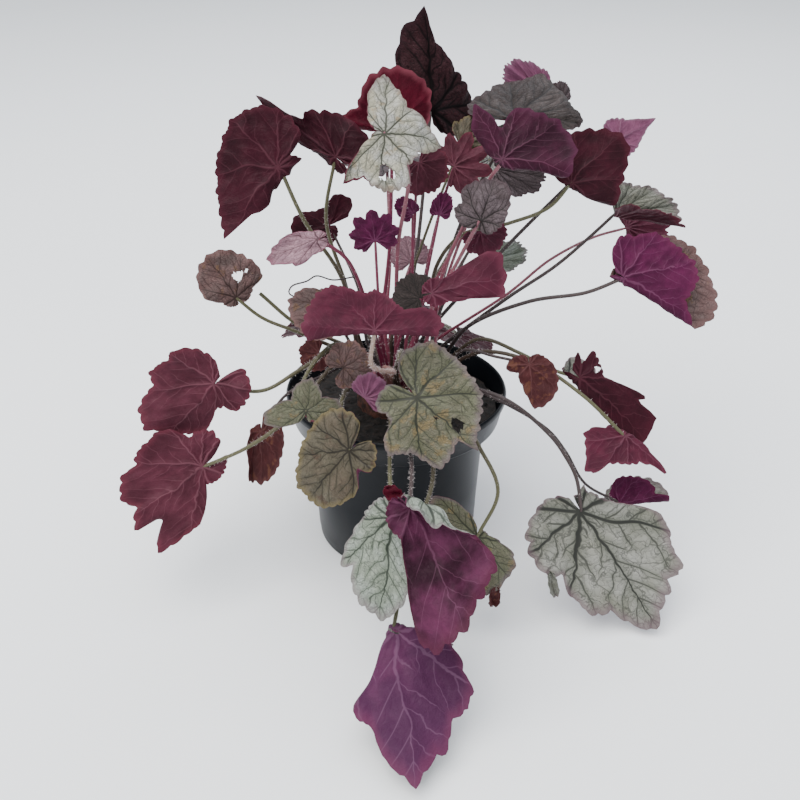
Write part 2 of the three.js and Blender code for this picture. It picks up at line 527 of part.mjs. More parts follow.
// ---------------------------------------------------------------------------------------
// Leaves
// ---------------------------------------------------------------------------------------

// The blade is a round, seven-lobed one with a narrow notch at its base. Its margin is the
// outer edge of the discs that its lobes are, cut into blunt teeth. Each disc is [direction
// from the midrib, distance of its centre, radius], for a leaf whose midrib is 1 long.
const LOBES = [
  [0, 0.58, 0.42],
  [43, 0.56, 0.41],
  [86, 0.49, 0.36],
  [129, 0.4, 0.31],
  [158, 0.25, 0.24],
];
const TOOTH = 43 / 3; // degrees of margin for each tooth
const TOOTH_DEPTH = 0.045;
const NOTCH_REACH = 0.12; // how far the notch stays away from the blade's base
// A blade has two rows of points round its base. The inner one has a point for each lobe.
// The margin's points are counted in teeth from the midrib to the notch at the base.
const INNER_SHARE = 0.5; // how far the inner row lies on the way to the margin
const INNER_POINTS = [0, 3, 6, 9, 12];
const MARGIN_POINTS = {
  fine: Array.from({ length: 25 }, (_, i) => i / 2),
  plain: [0.8, 1.5, 2.2, 3.8, 4.5, 5.2, 6.8, 7.5, 8.2, 9.8, 10.5, 12],
};

// How far the margin lies from the blade's base, by the angle from the midrib. A leaf with
// an outline has its margin's points where the outline's are.
function marginReach(degrees, { cut = 0, outline }) {
  if (outline) {
    const after = Math.max(outline.findIndex(([angle]) => angle >= degrees), 1);
    const [[a, nearA], [b, nearB]] = outline.slice(after - 1, after + 1);
    return nearA + ((nearB - nearA) * (degrees - a)) / (b - a);
  }
  const reach = LOBES.map(([axis, centre, radius]) => {
    const off = rad(Math.abs(degrees) - axis);
    const side = centre * Math.sin(off);
    if (Math.abs(side) > radius || Math.cos(off) < 0) return 0;
    return centre * Math.cos(off) + Math.sqrt(radius * radius - side * side);
  });
  const betweenTeeth = 1 - Math.abs(Math.cos((Math.PI * degrees) / TOOTH));
  const betweenLobes = (0.5 - 0.5 * Math.cos((2 * Math.PI * degrees) / (3 * TOOTH))) ** 2;
  const notched = (1 - TOOTH_DEPTH * betweenTeeth) * (1 - cut * betweenLobes);
  return Math.max(NOTCH_REACH, ...reach) * notched;
}

// Turns the part of the blade that lies past a fold's line round a cylinder.
function fold(point, [direction, start, angle, radius]) {
  const along = new THREE.Vector3(Math.cos(rad(direction)), Math.sin(rad(direction)), 0);
  const past = point.dot(along) - start;
  if (past <= 0) return point;
  const side = Math.sign(angle);
  const turn = rad(Math.abs(angle));
  const round = Math.min(past / radius, turn);
  const straight = Math.max(past - radius * turn, 0);
  const height = side * point.z;
  const newPast = (radius - height) * Math.sin(round) + straight * Math.cos(round);
  const newHeight =
    radius - (radius - height) * Math.cos(round) + straight * Math.sin(round);
  return point.clone().addScaledVector(along, newPast - past).setZ(side * newHeight);
}

// A row's angles from the midrib in degrees, from the notch round the blade to the notch.
function bothSides(counts) {
  const half = counts.map((count) => count * TOOTH);
  const mirrored = half.filter((angle) => angle > 0).map((angle) => -angle);
  return [...mirrored.reverse(), ...half];
}

// A point of a blade's middle surface, in the leaf's own frame, where +X is the midrib, +Z
// the upper side and the midrib is 1 long. The share is its place on the way to the margin.
function bladePoint(angle, share, form, seed) {
  const { spread = 1, wide = [1, 1], folds = [] } = form;
  const r = share * marginReach(angle, form);
  const turn = spread * rad(angle);
  const wave = MARGIN_WAVE * Math.sin(MARGIN_WAVES * rad(angle) + WAVE_SHIFT * seed);
  const ridge = Math.cos((2 * Math.PI * angle) / (3 * TOOTH));
  const pleat = PLEAT * (PLEATED_BELOW - spread) * ridge;
  const flat = new THREE.Vector3(
    r * Math.cos(turn),
    wide[angle > 0 ? 0 : 1] * r * Math.sin(turn),
    (BLADE_DOME + wave) * r * r + pleat * r,
  );
  return folds.reduce(fold, flat);
}

// A closed sheet of even thickness, split into triangles alike on both faces.
function bladeGeometry(teeth, form, seed, frame) {
  const inner = bothSides(INNER_POINTS);
  const margin = form.outline?.map(([angle]) => angle) ?? bothSides(MARGIN_POINTS[teeth]);
  const middle = [
    new THREE.Vector3(),
    ...inner.map((angle) => bladePoint(angle, INNER_SHARE, form, seed)),
    ...margin.map((angle) => bladePoint(angle, 1, form, seed)),
  ].map((p) => p.applyMatrix4(frame));
  const innerId = (i) => 1 + i;
  const marginId = (m) => 1 + inner.length + m;
  const faces = [];
  for (let i = 0; i + 1 < inner.length; i += 1) faces.push([0, innerId(i), innerId(i + 1)]);
  for (let i = 0, m = 0; m + 1 < margin.length; m += 1) {
    faces.push([innerId(i), marginId(m), marginId(m + 1)]);
    while (margin[m + 1] >= inner[i + 1]) {
      faces.push([innerId(i), marginId(m + 1), innerId(i + 1)]);
      i += 1;
    }
  }
  const normals = middle.map(() => new THREE.Vector3());
  for (const [a, b, c] of faces) {
    const ab = middle[b].clone().sub(middle[a]);
    const normal = ab.cross(middle[c].clone().sub(middle[a]));
    for (const corner of [a, b, c]) normals[corner].add(normal);
  }
  const layer = (side) =>
    middle.map((p, i) => p.clone().addScaledVector(normals[i].normalize(), side));
  const points = [...layer(BLADE_THICKNESS / 2), ...layer(-BLADE_THICKNESS / 2)];
  const under = middle.length;
  const edge = [0, innerId(0), ...margin.map((_, m) => marginId(m)), innerId(inner.length - 1)];
  const index = faces.flatMap(([a, b, c]) => [a, b, c, under + a, under + c, under + b]);
  edge.forEach((a, i) => {
    const b = edge[(i + 1) % edge.length];
    index.push(a, under + a, under + b, a, under + b, b);
  });
  const geometry = new THREE.BufferGeometry().setFromPoints(points);
  geometry.setIndex(index);
  return geometry;
}

function petioleGeometry(points, radius, sides) {
  const length = new THREE.CatmullRomCurve3(points).getLength();
  return rod(points, radius, sides, Math.max(6, Math.round(length / PETIOLE_STEP)));
}

function leafGeometry([, size, place, base, tip, faces, by, form = {}], seed) {
  const foot = vec(base);
  const midrib = vec(tip).sub(foot);
  const length = midrib.length();
  midrib.normalize();
  const upper = compass(...faces);
  upper.addScaledVector(midrib, -upper.dot(midrib)).normalize();
  const left = upper.clone().cross(midrib);
  const frame = new THREE.Matrix4()
    .makeBasis(midrib, left, upper)
    .scale(new THREE.Vector3(length, length, length))
    .setPosition(foot);
  const blade = bladeGeometry(size.teeth, form, seed, frame);
  const passes = by.map(vec);
  const arriving = foot.clone().sub(passes.at(-1)).normalize();
  const end = foot.clone().addScaledVector(arriving, BLADE_THICKNESS);
  const stem = petioleGeometry(
    [...petioleRoot(place), ...passes, foot, end],
    size.petiole,
    size.sides,
  );
  return toGeometry(toSolid(blade).add(toSolid(stem)));
}

function barePetioleGeometry({ place, by, end, petiole, sides }) {
  return petioleGeometry([...petioleRoot(place), ...by.map(vec), vec(end)], petiole, sides);
}

// ---------------------------------------------------------------------------------------
// The plant
// ---------------------------------------------------------------------------------------

const stems = LEAVES.map(([, size, place]) => ({ place, radius: size.petiole }));
stems.push({ place: BARE_PETIOLE.place, radius: BARE_PETIOLE.petiole });

const heuchera = new THREE.Group();
heuchera.add(piece("pot", potGeometry(), FINISH.pot));
heuchera.add(piece("compost", compostGeometry(), FINISH.compost));
heuchera.add(piece("crown", crownGeometry(stems), FINISH.crown));
heuchera.add(piece("petiole_bare", barePetioleGeometry(BARE_PETIOLE), FINISH.leaf));
LEAVES.forEach((leaf, seed) => {
  heuchera.add(piece(leaf[0], leafGeometry(leaf, seed), FINISH.leaf));
});

export default heuchera;
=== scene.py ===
import math

import bpy
import numpy as np
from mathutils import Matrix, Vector, noise


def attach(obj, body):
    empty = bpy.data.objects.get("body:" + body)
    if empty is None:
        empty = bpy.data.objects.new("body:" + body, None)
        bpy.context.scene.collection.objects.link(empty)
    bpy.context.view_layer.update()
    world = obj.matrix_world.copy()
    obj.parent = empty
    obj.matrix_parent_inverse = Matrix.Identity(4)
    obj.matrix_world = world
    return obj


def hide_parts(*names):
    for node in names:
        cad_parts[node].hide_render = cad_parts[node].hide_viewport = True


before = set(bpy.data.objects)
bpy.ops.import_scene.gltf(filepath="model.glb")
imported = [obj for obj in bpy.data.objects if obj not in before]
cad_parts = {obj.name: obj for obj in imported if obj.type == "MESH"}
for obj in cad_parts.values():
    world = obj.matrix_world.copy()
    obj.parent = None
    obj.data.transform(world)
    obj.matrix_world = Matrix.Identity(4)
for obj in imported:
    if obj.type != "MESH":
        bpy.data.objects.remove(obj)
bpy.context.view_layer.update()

# --------------------------------
# Camera: held half a metre in front of the pot and looking down on it by thirty degrees,
# through a lens wide enough for all the leaves.
# --------------------------------

CAMERA_PLACE = (0.0022, -0.5, 0.379)
CAMERA_LOOKS_DOWN = 30
CAMERA_ANGLE = 45
CAMERA_SEES_FROM = 0.01

lens = bpy.data.cameras.new("camera")
lens.angle = math.radians(CAMERA_ANGLE)
lens.clip_start = CAMERA_SEES_FROM
camera = bpy.data.objects.new("camera", lens)
camera.location = CAMERA_PLACE
camera.rotation_euler = (math.radians(90 - CAMERA_LOOKS_DOWN), 0, 0)
bpy.context.collection.objects.link(camera)
bpy.context.scene.camera = camera

# --------------------------------
# Pot: a thin-walled round nursery pot of black polypropylene, with a deep collar that the
# pots nest by, six drain holes and the dull shine of moulded plastic that has been outside.
# --------------------------------

MM = 0.001
POT_HEIGHT = 100
RIM_RADIUS = 65
COLLAR_FOOT = 83
COLLAR_FOOT_RADIUS = 61.5
SHOULDER_RADIUS = 53
BASE_RADIUS = 48.5
POT_WALL = 1.6
POT_FLOOR = 2.5
POT_ROUND = 180
DRAIN_HOLES = 6
DRAIN_RADIUS = 4
DRAIN_CIRCLE = 34
DRAIN_ROUND = 40


def paint(code):
    """A colour as linear light, from its usual six-figure screen code."""
    parts = [int(code[i : i + 2], 16) / 255 for i in (0, 2, 4)]
    light = [p / 12.92 if p <= 0.04045 else ((p + 0.055) / 1.055) ** 2.4 for p in parts]
    return (*light, 1)


def piece(name, points, faces, finishes, finish_of_face=None, crease=50):
    """A mesh in millimetres as a smooth-shaded piece, with its place in its vertices."""
    mesh = bpy.data.meshes.new(name)
    mesh.from_pydata((np.asarray(points) * MM).tolist(), [], faces)
    for finish in finishes:
        mesh.materials.append(finish)
    if finish_of_face is not None:
        mesh.polygons.foreach_set("material_index", finish_of_face)
    mesh.shade_smooth()
    mesh.set_sharp_from_angle(angle=math.radians(crease))
    made = bpy.data.objects.new(name, mesh)
    bpy.context.collection.objects.link(made)
    return made


def dress(made, node):
    """Lets a piece stand for its solid, in that solid's finish."""
    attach(made, "root")
    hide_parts(node)


def turned(profile, around):
    """Rings of points and faces for [radius, height] points turned round the pot's axis."""
    profile = np.array(profile, float)
    turn = np.linspace(0, 2 * np.pi, around, endpoint=False)
    rings = np.stack(
        [
            profile[:, :1] * np.cos(turn),
            profile[:, :1] * np.sin(turn),
            np.repeat(profile[:, 1:], around, axis=1),
        ],
        axis=-1,
    ).reshape(-1, 3)
    faces = []
    for row in range(len(profile) - 1):
        for i in range(around):
            a = row * around + i
            b = row * around + (i + 1) % around
            faces.append([a, b, b + around, a + around])
    return rings, faces


def close_ends(points, faces, around):
    """Closes the first and the last ring of a turned piece with a flat disc."""
    last = len(points) - around
    faces.append([around - 1 - i for i in range(around)])
    faces.append([last + i for i in range(around)])
    return points, faces


def add(tree, kind, *inputs, **settings):
    """A shader node with its inputs joined or set in their order. Gives its first output."""
    made = tree.nodes.new("ShaderNode" + kind)
    for key, value in settings.items():
        setattr(made, key, value)
    for socket, value in zip(made.inputs, inputs):
        if isinstance(value, bpy.types.NodeSocket):
            tree.links.new(value, socket)
        elif value is not None:
            socket.default_value = value
    return made.outputs[0]


def calculate(tree, operation, *inputs):
    """One step of arithmetic between masks."""
    return add(tree, "Math", *inputs, operation=operation)


def ramp(tree, value, start, end, low=0.0, high=1.0):
    """A smooth step from low to high as the value goes from start to end."""
    return add(tree, "MapRange", value, start, end, low, high, interpolation_type="SMOOTHSTEP")


def blend_colour(tree, share, first, second):
    """The first colour turned into the second by a share that changes over the surface."""
    mix = tree.nodes.new("ShaderNodeMix")
    mix.data_type = "RGBA"
    # A mix of colours has its share at socket 0, its colours at 6 and 7, and gives output 2.
    for socket, value in zip((mix.inputs[0], mix.inputs[6], mix.inputs[7]), (share, first, second)):
        if isinstance(value, bpy.types.NodeSocket):
            tree.links.new(value, socket)
        else:
            socket.default_value = value
    return mix.outputs[2]


def object_place(tree):
    """Where a point of the surface lies, for noise that keeps its place on the piece."""
    return tree.nodes.new("ShaderNodeTexCoord").outputs["Object"]


def relief(tree, shader, height, strength, depth, sunk=False):
    """Grain too fine for the mesh, from a height that changes over the surface."""
    bump = tree.nodes.new("ShaderNodeBump")
    bump.invert = sunk
    bump.inputs["Strength"].default_value = strength
    bump.inputs["Distance"].default_value = depth
    tree.links.new(height, bump.inputs["Height"])
    tree.links.new(bump.outputs[0], shader.inputs["Normal"])


def new_finish(name, **constants):
    """A material with its Principled shader and the numbers that are the same all over."""
    finish = bpy.data.materials.new(name)
    finish.use_nodes = True
    shader = finish.node_tree.nodes["Principled BSDF"]
    for key, value in constants.items():
        shader.inputs[key.replace("_", " ")].default_value = value
    return finish, finish.node_tree, shader


def new_group(name, numbers, outputs):
    """An empty shader node group with named number inputs and named outputs."""
    group = bpy.data.node_groups.new(name, "ShaderNodeTree")
    for label, value in numbers.items():
        socket = group.interface.new_socket(label, in_out="INPUT", socket_type="NodeSocketFloat")
        socket.default_value = value
    for label, kind in outputs.items():
        group.interface.new_socket(label, in_out="OUTPUT", socket_type="NodeSocket" + kind)
    return group, group.nodes.new("NodeGroupInput").outputs, group.nodes.new("NodeGroupOutput").inputs


def use_group(tree, group, **numbers):
    """A group placed in a material with that material's own numbers. Gives its outputs."""
    placed = tree.nodes.new("ShaderNodeGroup")
    placed.node_tree = group
    for key, value in numbers.items():
        placed.inputs[key.replace("_", " ")].default_value = value
    return placed.outputs


# Dust and dried splashes: thin, pale and patchy.
weathering, given, out = new_group(
    "weathering", {"Scale": 60, "Amount": 0.5}, {"Dust": "Float", "Grain": "Float"}
)
where = object_place(weathering)
broad = add(weathering, "TexNoise", where, None, given["Scale"], 4.0, 0.6)
fine = add(weathering, "TexNoise", where, None, 1400.0, 2.0, 0.5)
patches = ramp(weathering, broad, 0.5, 0.75)
specks = ramp(weathering, fine, 0.45, 0.75)
specks = calculate(weathering, "MULTIPLY_ADD", specks, 0.6, 0.4)
dust = calculate(weathering, "MULTIPLY", patches, specks)
weathering.links.new(calculate(weathering, "MULTIPLY", dust, given["Amount"]), out["Dust"])
weathering.links.new(fine, out["Grain"])

pot_plastic, tree, shader = new_finish("pot_plastic", Specular_IOR_Level=0.14)
worn = use_group(tree, weathering, Scale=45.0, Amount=0.09)
colour = blend_colour(tree, worn["Dust"], paint("0c0f14"), paint("57534e"))
tree.links.new(colour, shader.inputs["Base Color"])
tree.links.new(ramp(tree, worn["Dust"], 0.0, 0.3, 0.34, 0.62), shader.inputs["Roughness"])
relief(tree, shader, worn["Grain"], 0.12, 0.0003)

INNER_BASE = BASE_RADIUS - POT_WALL
INNER_SHOULDER = SHOULDER_RADIUS - POT_WALL
INNER_COLLAR = COLLAR_FOOT_RADIUS - POT_WALL
INNER_RIM = RIM_RADIUS - POT_WALL
pot_profile = [
    [BASE_RADIUS - 6, 0],
    [BASE_RADIUS - 1.2, 0],
    [BASE_RADIUS - 0.3, 0.4],
    [BASE_RADIUS, 1.4],
    [BASE_RADIUS + 0.25, 6],
    [BASE_RADIUS + 0.6, 6.5],
    [BASE_RADIUS + 2.1, 40],
    [SHOULDER_RADIUS - 0.1, COLLAR_FOOT - 1.6],
    [SHOULDER_RADIUS + 0.4, COLLAR_FOOT - 0.5],
    [SHOULDER_RADIUS + 1.4, COLLAR_FOOT],
    [COLLAR_FOOT_RADIUS - 1.0, COLLAR_FOOT],
    [COLLAR_FOOT_RADIUS - 0.2, COLLAR_FOOT + 0.4],
    [COLLAR_FOOT_RADIUS + 0.1, COLLAR_FOOT + 1.3],
    [RIM_RADIUS - 1.0, POT_HEIGHT - 4.6],
    [RIM_RADIUS - 0.2, POT_HEIGHT - 4.0],
    [RIM_RADIUS, POT_HEIGHT - 3.0],
    [RIM_RADIUS, POT_HEIGHT - 1.2],
    [RIM_RADIUS - 0.3, POT_HEIGHT - 0.4],
    [RIM_RADIUS - 0.9, POT_HEIGHT],
    [INNER_RIM, POT_HEIGHT - 0.3],
    [INNER_RIM - 0.3, POT_HEIGHT - 1.2],
    [INNER_COLLAR, COLLAR_FOOT + POT_WALL],
    [INNER_SHOULDER + 0.6, COLLAR_FOOT + 0.6],
    [INNER_SHOULDER, COLLAR_FOOT - 0.6],
    [INNER_BASE + 0.2, POT_FLOOR + 1],
    [INNER_BASE - 1, POT_FLOOR],
]
pot = piece("pot_shell", *close_ends(*turned(pot_profile, POT_ROUND), POT_ROUND), [pot_plastic])
for hole in range(DRAIN_HOLES):
    turn = 2 * math.pi * hole / DRAIN_HOLES
    bpy.ops.mesh.primitive_cylinder_add(
        vertices=DRAIN_ROUND,
        radius=DRAIN_RADIUS * MM,
        depth=4 * POT_FLOOR * MM,
        location=(DRAIN_CIRCLE * MM * math.cos(turn), DRAIN_CIRCLE * MM * math.sin(turn), 0),
    )
    drill = bpy.context.object
    cut = pot.modifiers.new("drain", "BOOLEAN")
    cut.object = drill
    cut.operation = "DIFFERENCE"
    cut.solver = "EXACT"
    bpy.context.view_layer.objects.active = pot
    bpy.ops.object.modifier_apply(modifier="drain")
    bpy.data.objects.remove(drill)
dress(pot, "pot")

# --------------------------------
# Compost: dark, damp peat with crumbs and bits of bark, filled to a finger's width below
# the rim and heaped a little round the crown.
# --------------------------------

GAP = 0.4
COMPOST_LEVEL = 88
# Drying has drawn the peat back from the wall by a little more than the gap.
SHRUNK = 0.3
COMPOST_EDGE = INNER_COLLAR - GAP - SHRUNK
COMPOST_ROUND = 180
COMPOST_RINGS = 46
HEAP_HEIGHT = 2.2
HEAP_RADIUS = 34
CRUMBS = 420
CRUMB_SIZE = (0.5, 1.7)
CRUMB_DRAW = 7

rng = np.random.default_rng(CRUMB_DRAW)

compost_finish, tree, shader = new_finish("compost_damp", Roughness=0.92)
where = object_place(tree)
lumps = add(tree, "TexNoise", where, None, 260.0, 5.0, 0.65)
fibres = add(tree, "TexNoise", where, None, 900.0, 3.0, 0.6)
colour = blend_colour(tree, ramp(tree, lumps, 0.4, 0.68), paint("0c0908"), paint("211813"))
colour = blend_colour(tree, ramp(tree, fibres, 0.66, 0.74), colour, paint("453527"))
tree.links.new(colour, shader.inputs["Base Color"])
relief(tree, shader, fibres, 0.6, 0.0008)


def compost_height(x, y):
    """The compost's top in millimetres: crumbly, and a little higher round the crown."""
    place = Vector((x, y, 0))
    crumbs = 1.5 * noise.fractal(place * 0.22, 1.0, 2.0, 4) + 0.8 * abs(noise.noise(place * 0.9))
    heap = HEAP_HEIGHT * math.exp(-((math.hypot(x, y) / HEAP_RADIUS) ** 4))
    return COMPOST_LEVEL + crumbs + heap


under_profile = [
    [0.5, POT_FLOOR + GAP],
    [INNER_BASE - GAP - SHRUNK, POT_FLOOR + GAP],
    [INNER_SHOULDER - GAP - SHRUNK, COLLAR_FOOT - 0.6],
    [INNER_COLLAR - GAP - 1.2, COLLAR_FOOT + POT_WALL + GAP],
    [COMPOST_EDGE, COMPOST_LEVEL - 1.5],
]
top_profile = [[COMPOST_EDGE * (1 - i / COMPOST_RINGS), COMPOST_LEVEL] for i in range(COMPOST_RINGS)]
points, faces = turned(under_profile + top_profile, COMPOST_ROUND)
points, faces = close_ends(points, faces, COMPOST_ROUND)
for i in range(len(under_profile) * COMPOST_ROUND, len(points)):
    points[i, 2] = compost_height(points[i, 0], points[i, 1])

# Loose crumbs and chips lie half sunk in the top.
CHIP = np.array([[1, 0, 0], [-1, 0, 0], [0, 1, 0], [0, -1, 0], [0, 0, 1], [0, 0, -1]], float)
CHIP_FACES = [[0, 2, 4], [2, 1, 4], [1, 3, 4], [3, 0, 4], [2, 0, 5], [1, 2, 5], [3, 1, 5], [0, 3, 5]]
points = [points]
for crumb in range(CRUMBS):
    reach = (COMPOST_EDGE - 3) * math.sqrt(rng.uniform(0.05, 1))
    turn = rng.uniform(0, 2 * np.pi)
    x = reach * math.cos(turn)
    y = reach * math.sin(turn)
    size = rng.uniform(*CRUMB_SIZE) * np.array([rng.uniform(0.7, 1.8), 1, 0.55])
    spin = rng.uniform(0, np.pi)
    chip = CHIP * size * rng.uniform(0.75, 1.2, (6, 1))
    chip[:, :2] = chip[:, :2] @ np.array(
        [[math.cos(spin), -math.sin(spin)], [math.sin(spin), math.cos(spin)]]
    )
    start = sum(len(p) for p in points)
    points.append(chip + [x, y, compost_height(x, y) + 0.3])
    faces.extend([[start + i for i in face] for face in CHIP_FACES])
compost = piece("compost_fill", np.concatenate(points), faces, [compost_finish])
dress(compost, "compost")

# --------------------------------
# Crown: the short woody stock at the middle that every petiole grows from, brown and rough
# with the scars and dry sheaths of older leaves.
# --------------------------------

CROWN_RADIUS = 23.4
CROWN_FOOT = 80
CROWN_ROUND = 120
SCALE_RELIEF = 1.1
# Each ring of petioles: its radius, its height, its places, and how far they lean out.
CROWN_RINGS = {
    "outer": (19.5, 105, 26, 48),
    "middle": (14, 110, 20, 30),
    "inner": (7.2, 113, 9, 14),
    "heart": (2, 114, 2, 4),
}

crown_finish, tree, shader = new_finish("crown_bark", Roughness=0.85)
where = object_place(tree)
scars = add(tree, "TexNoise", where, None, 220.0, 5.0, 0.6)
fibre = add(tree, "TexNoise", where, None, 700.0, 3.0, 0.6)
colour = blend_colour(tree, ramp(tree, scars, 0.35, 0.65), paint("22150f"), paint("5a352a"))
colour = blend_colour(tree, ramp(tree, fibre, 0.62, 0.75), colour, paint("6f2f33"))
tree.links.new(colour, shader.inputs["Base Color"])
relief(tree, shader, scars, 0.7, 0.001)

crown_profile = [
    [CROWN_RADIUS - 1.5, CROWN_FOOT],
    [CROWN_RADIUS, 88],
    [CROWN_RADIUS, 93],
    [CROWN_RADIUS - 0.8, 97],
    [CROWN_RADIUS - 2.2, 100.5],
    [19, 103.8],
    [17, 106.3],
    [14.5, 108.4],
    [12, 109.9],
    [9, 111.6],
    [6, 112.6],
    [3, 113.2],
    [0.5, 113.4],
]
points, faces = close_ends(*turned(crown_profile, CROWN_ROUND), CROWN_ROUND)
# Scars and scales push the bark out and in, more at the sides than on top.
for i, point in enumerate(points):
    scale = noise.fractal(Vector(point) * 0.35, 1.0, 2.0, 4)
    points[i] += np.array([point[0], point[1], 14]) / 28 * (SCALE_RELIEF * scale - 0.3)
crown = piece("crown_stock", points, faces, [crown_finish])
dress(crown, "crown")

# --------------------------------
# Leaf finishes: a leathery blade, netted with veins that fork from the petiole into each
# lobe. They are dark and sunk in the silvered upper side, and pale and raised beneath,
# where the blade is wine red.
# --------------------------------

LOBE_ANGLE = 43
LAST_LOBE = 158
SIDE_VEIN_STEP = 0.17
SIDE_VEIN_RISE = 1.25
# Side veins don't meet at a main vein: how far they shift from side to side and lobe to lobe.
SIDE_SHIFT = 0.45
LOBE_SHIFT = 0.31

# Every blade carries its own flat drawing: x along the midrib and y across it, with the
# midrib 1 long, and a number of the leaf's own as z. The veins follow that drawing.
veins, given, out = new_group(
    "leaf_veins",
    {"Vein Width": 0.02, "Net Scale": 19},
    {"Main": "Float", "Side": "Float", "Net": "Float", "Halo": "Float", "Puff": "Float"},
)


def vein_step(operation, *inputs):
    """One step of arithmetic in the group that draws the veins."""
    return calculate(veins, operation, *inputs)


def attribute(tree, name):
    """What each point of a piece carries under a name."""
    carried = tree.nodes.new("ShaderNodeAttribute")
    carried.attribute_name = name
    return carried.outputs


flat_drawing = attribute(veins, "flat")["Vector"]
straying = add(veins, "TexNoise", flat_drawing, None, 5.5, 3.0)
straying = vein_step("MULTIPLY_ADD", straying, 0.1, -0.05)
drawn = add(veins, "VectorMath", flat_drawing, straying)
split = veins.nodes.new("ShaderNodeSeparateXYZ")
veins.links.new(drawn, split.inputs[0])
x, y, own = split.outputs

# Each point belongs to the main vein of the nearest lobe, and lies along it and across it.
reach = vein_step("SQRT", vein_step("MULTIPLY_ADD", x, x, vein_step("MULTIPLY", y, y)))
angle = vein_step("ARCTAN2", y, x)
lobe = vein_step("DIVIDE", vein_step("ABSOLUTE", angle), math.radians(LOBE_ANGLE))
lobe = vein_step("ROUND", lobe)
axis = vein_step("MULTIPLY", lobe, math.radians(LOBE_ANGLE))
axis = vein_step("MINIMUM", axis, math.radians(LAST_LOBE))
off = vein_step("SUBTRACT", vein_step("ABSOLUTE", angle), axis)
along = vein_step("MULTIPLY", reach, vein_step("COSINE", off))
across = vein_step("MULTIPLY", reach, vein_step("SINE", off))
aside = vein_step("ABSOLUTE", across)
width = vein_step("MULTIPLY", given["Vein Width"], ramp(veins, reach, 0.0, 1.1, 1.25, 0.22))
main = ramp(veins, vein_step("DIVIDE", aside, width), 0.35, 1.0, 1.0, 0.0)

# Side veins rise from it at even steps and fade where the next lobe begins.
steps = vein_step("SUBTRACT", along, vein_step("MULTIPLY", aside, SIDE_VEIN_RISE))
steps = vein_step("DIVIDE", steps, SIDE_VEIN_STEP)
shift = vein_step("MULTIPLY", vein_step("GREATER_THAN", across, 0.0), SIDE_SHIFT)
shift = vein_step("ADD", shift, vein_step("MULTIPLY_ADD", lobe, LOBE_SHIFT, own))
to_line = vein_step("FRACT", vein_step("ADD", steps, shift))
to_line = vein_step("ABSOLUTE", vein_step("SUBTRACT", to_line, 0.5))
width = vein_step("MULTIPLY", given["Vein Width"], ramp(veins, aside, 0.0, 0.3, 5.2, 2.4))
side = ramp(veins, vein_step("DIVIDE", to_line, width), 0.3, 1.0, 1.0, 0.0)
fading = ramp(veins, vein_step("ABSOLUTE", off), 0.3, 0.38, 1.0, 0.0)
side = vein_step("MULTIPLY", side, fading)

# The net between them has fine cells within coarse ones, and the blade puffs up in each.
wobble = add(veins, "TexNoise", drawn, None, 8.0, 3.0)
bent = add(veins, "VectorMath", drawn, vein_step("MULTIPLY", wobble, 0.3))
cells = add(veins, "TexVoronoi", bent, None, given["Net Scale"], feature="DISTANCE_TO_EDGE")
net = ramp(veins, cells, 0.01, 0.08, 0.55, 0.0)
coarse = add(veins, "TexVoronoi", bent, None, 8.5, feature="DISTANCE_TO_EDGE")
net = vein_step("MAXIMUM", net, ramp(veins, coarse, 0.012, 0.06, 1.0, 0.0))
halo = vein_step("MULTIPLY", ramp(veins, to_line, 0.0, 0.36, 0.85, 0.0), fading)
halo = vein_step("MAXIMUM", ramp(veins, aside, 0.0, 0.11, 1.0, 0.0), halo)
puff = vein_step("MULTIPLY", ramp(veins, aside, 0.0, 0.06), ramp(veins, to_line, 0.0, 0.25, 0.5, 1.0))
puff = vein_step("MULTIPLY", ramp(veins, cells, 0.0, 0.25), puff)
veins.links.new(main, out["Main"])
veins.links.new(side, out["Side"])
veins.links.new(net, out["Net"])
veins.links.new(halo, out["Halo"])
veins.links.new(puff, out["Puff"])


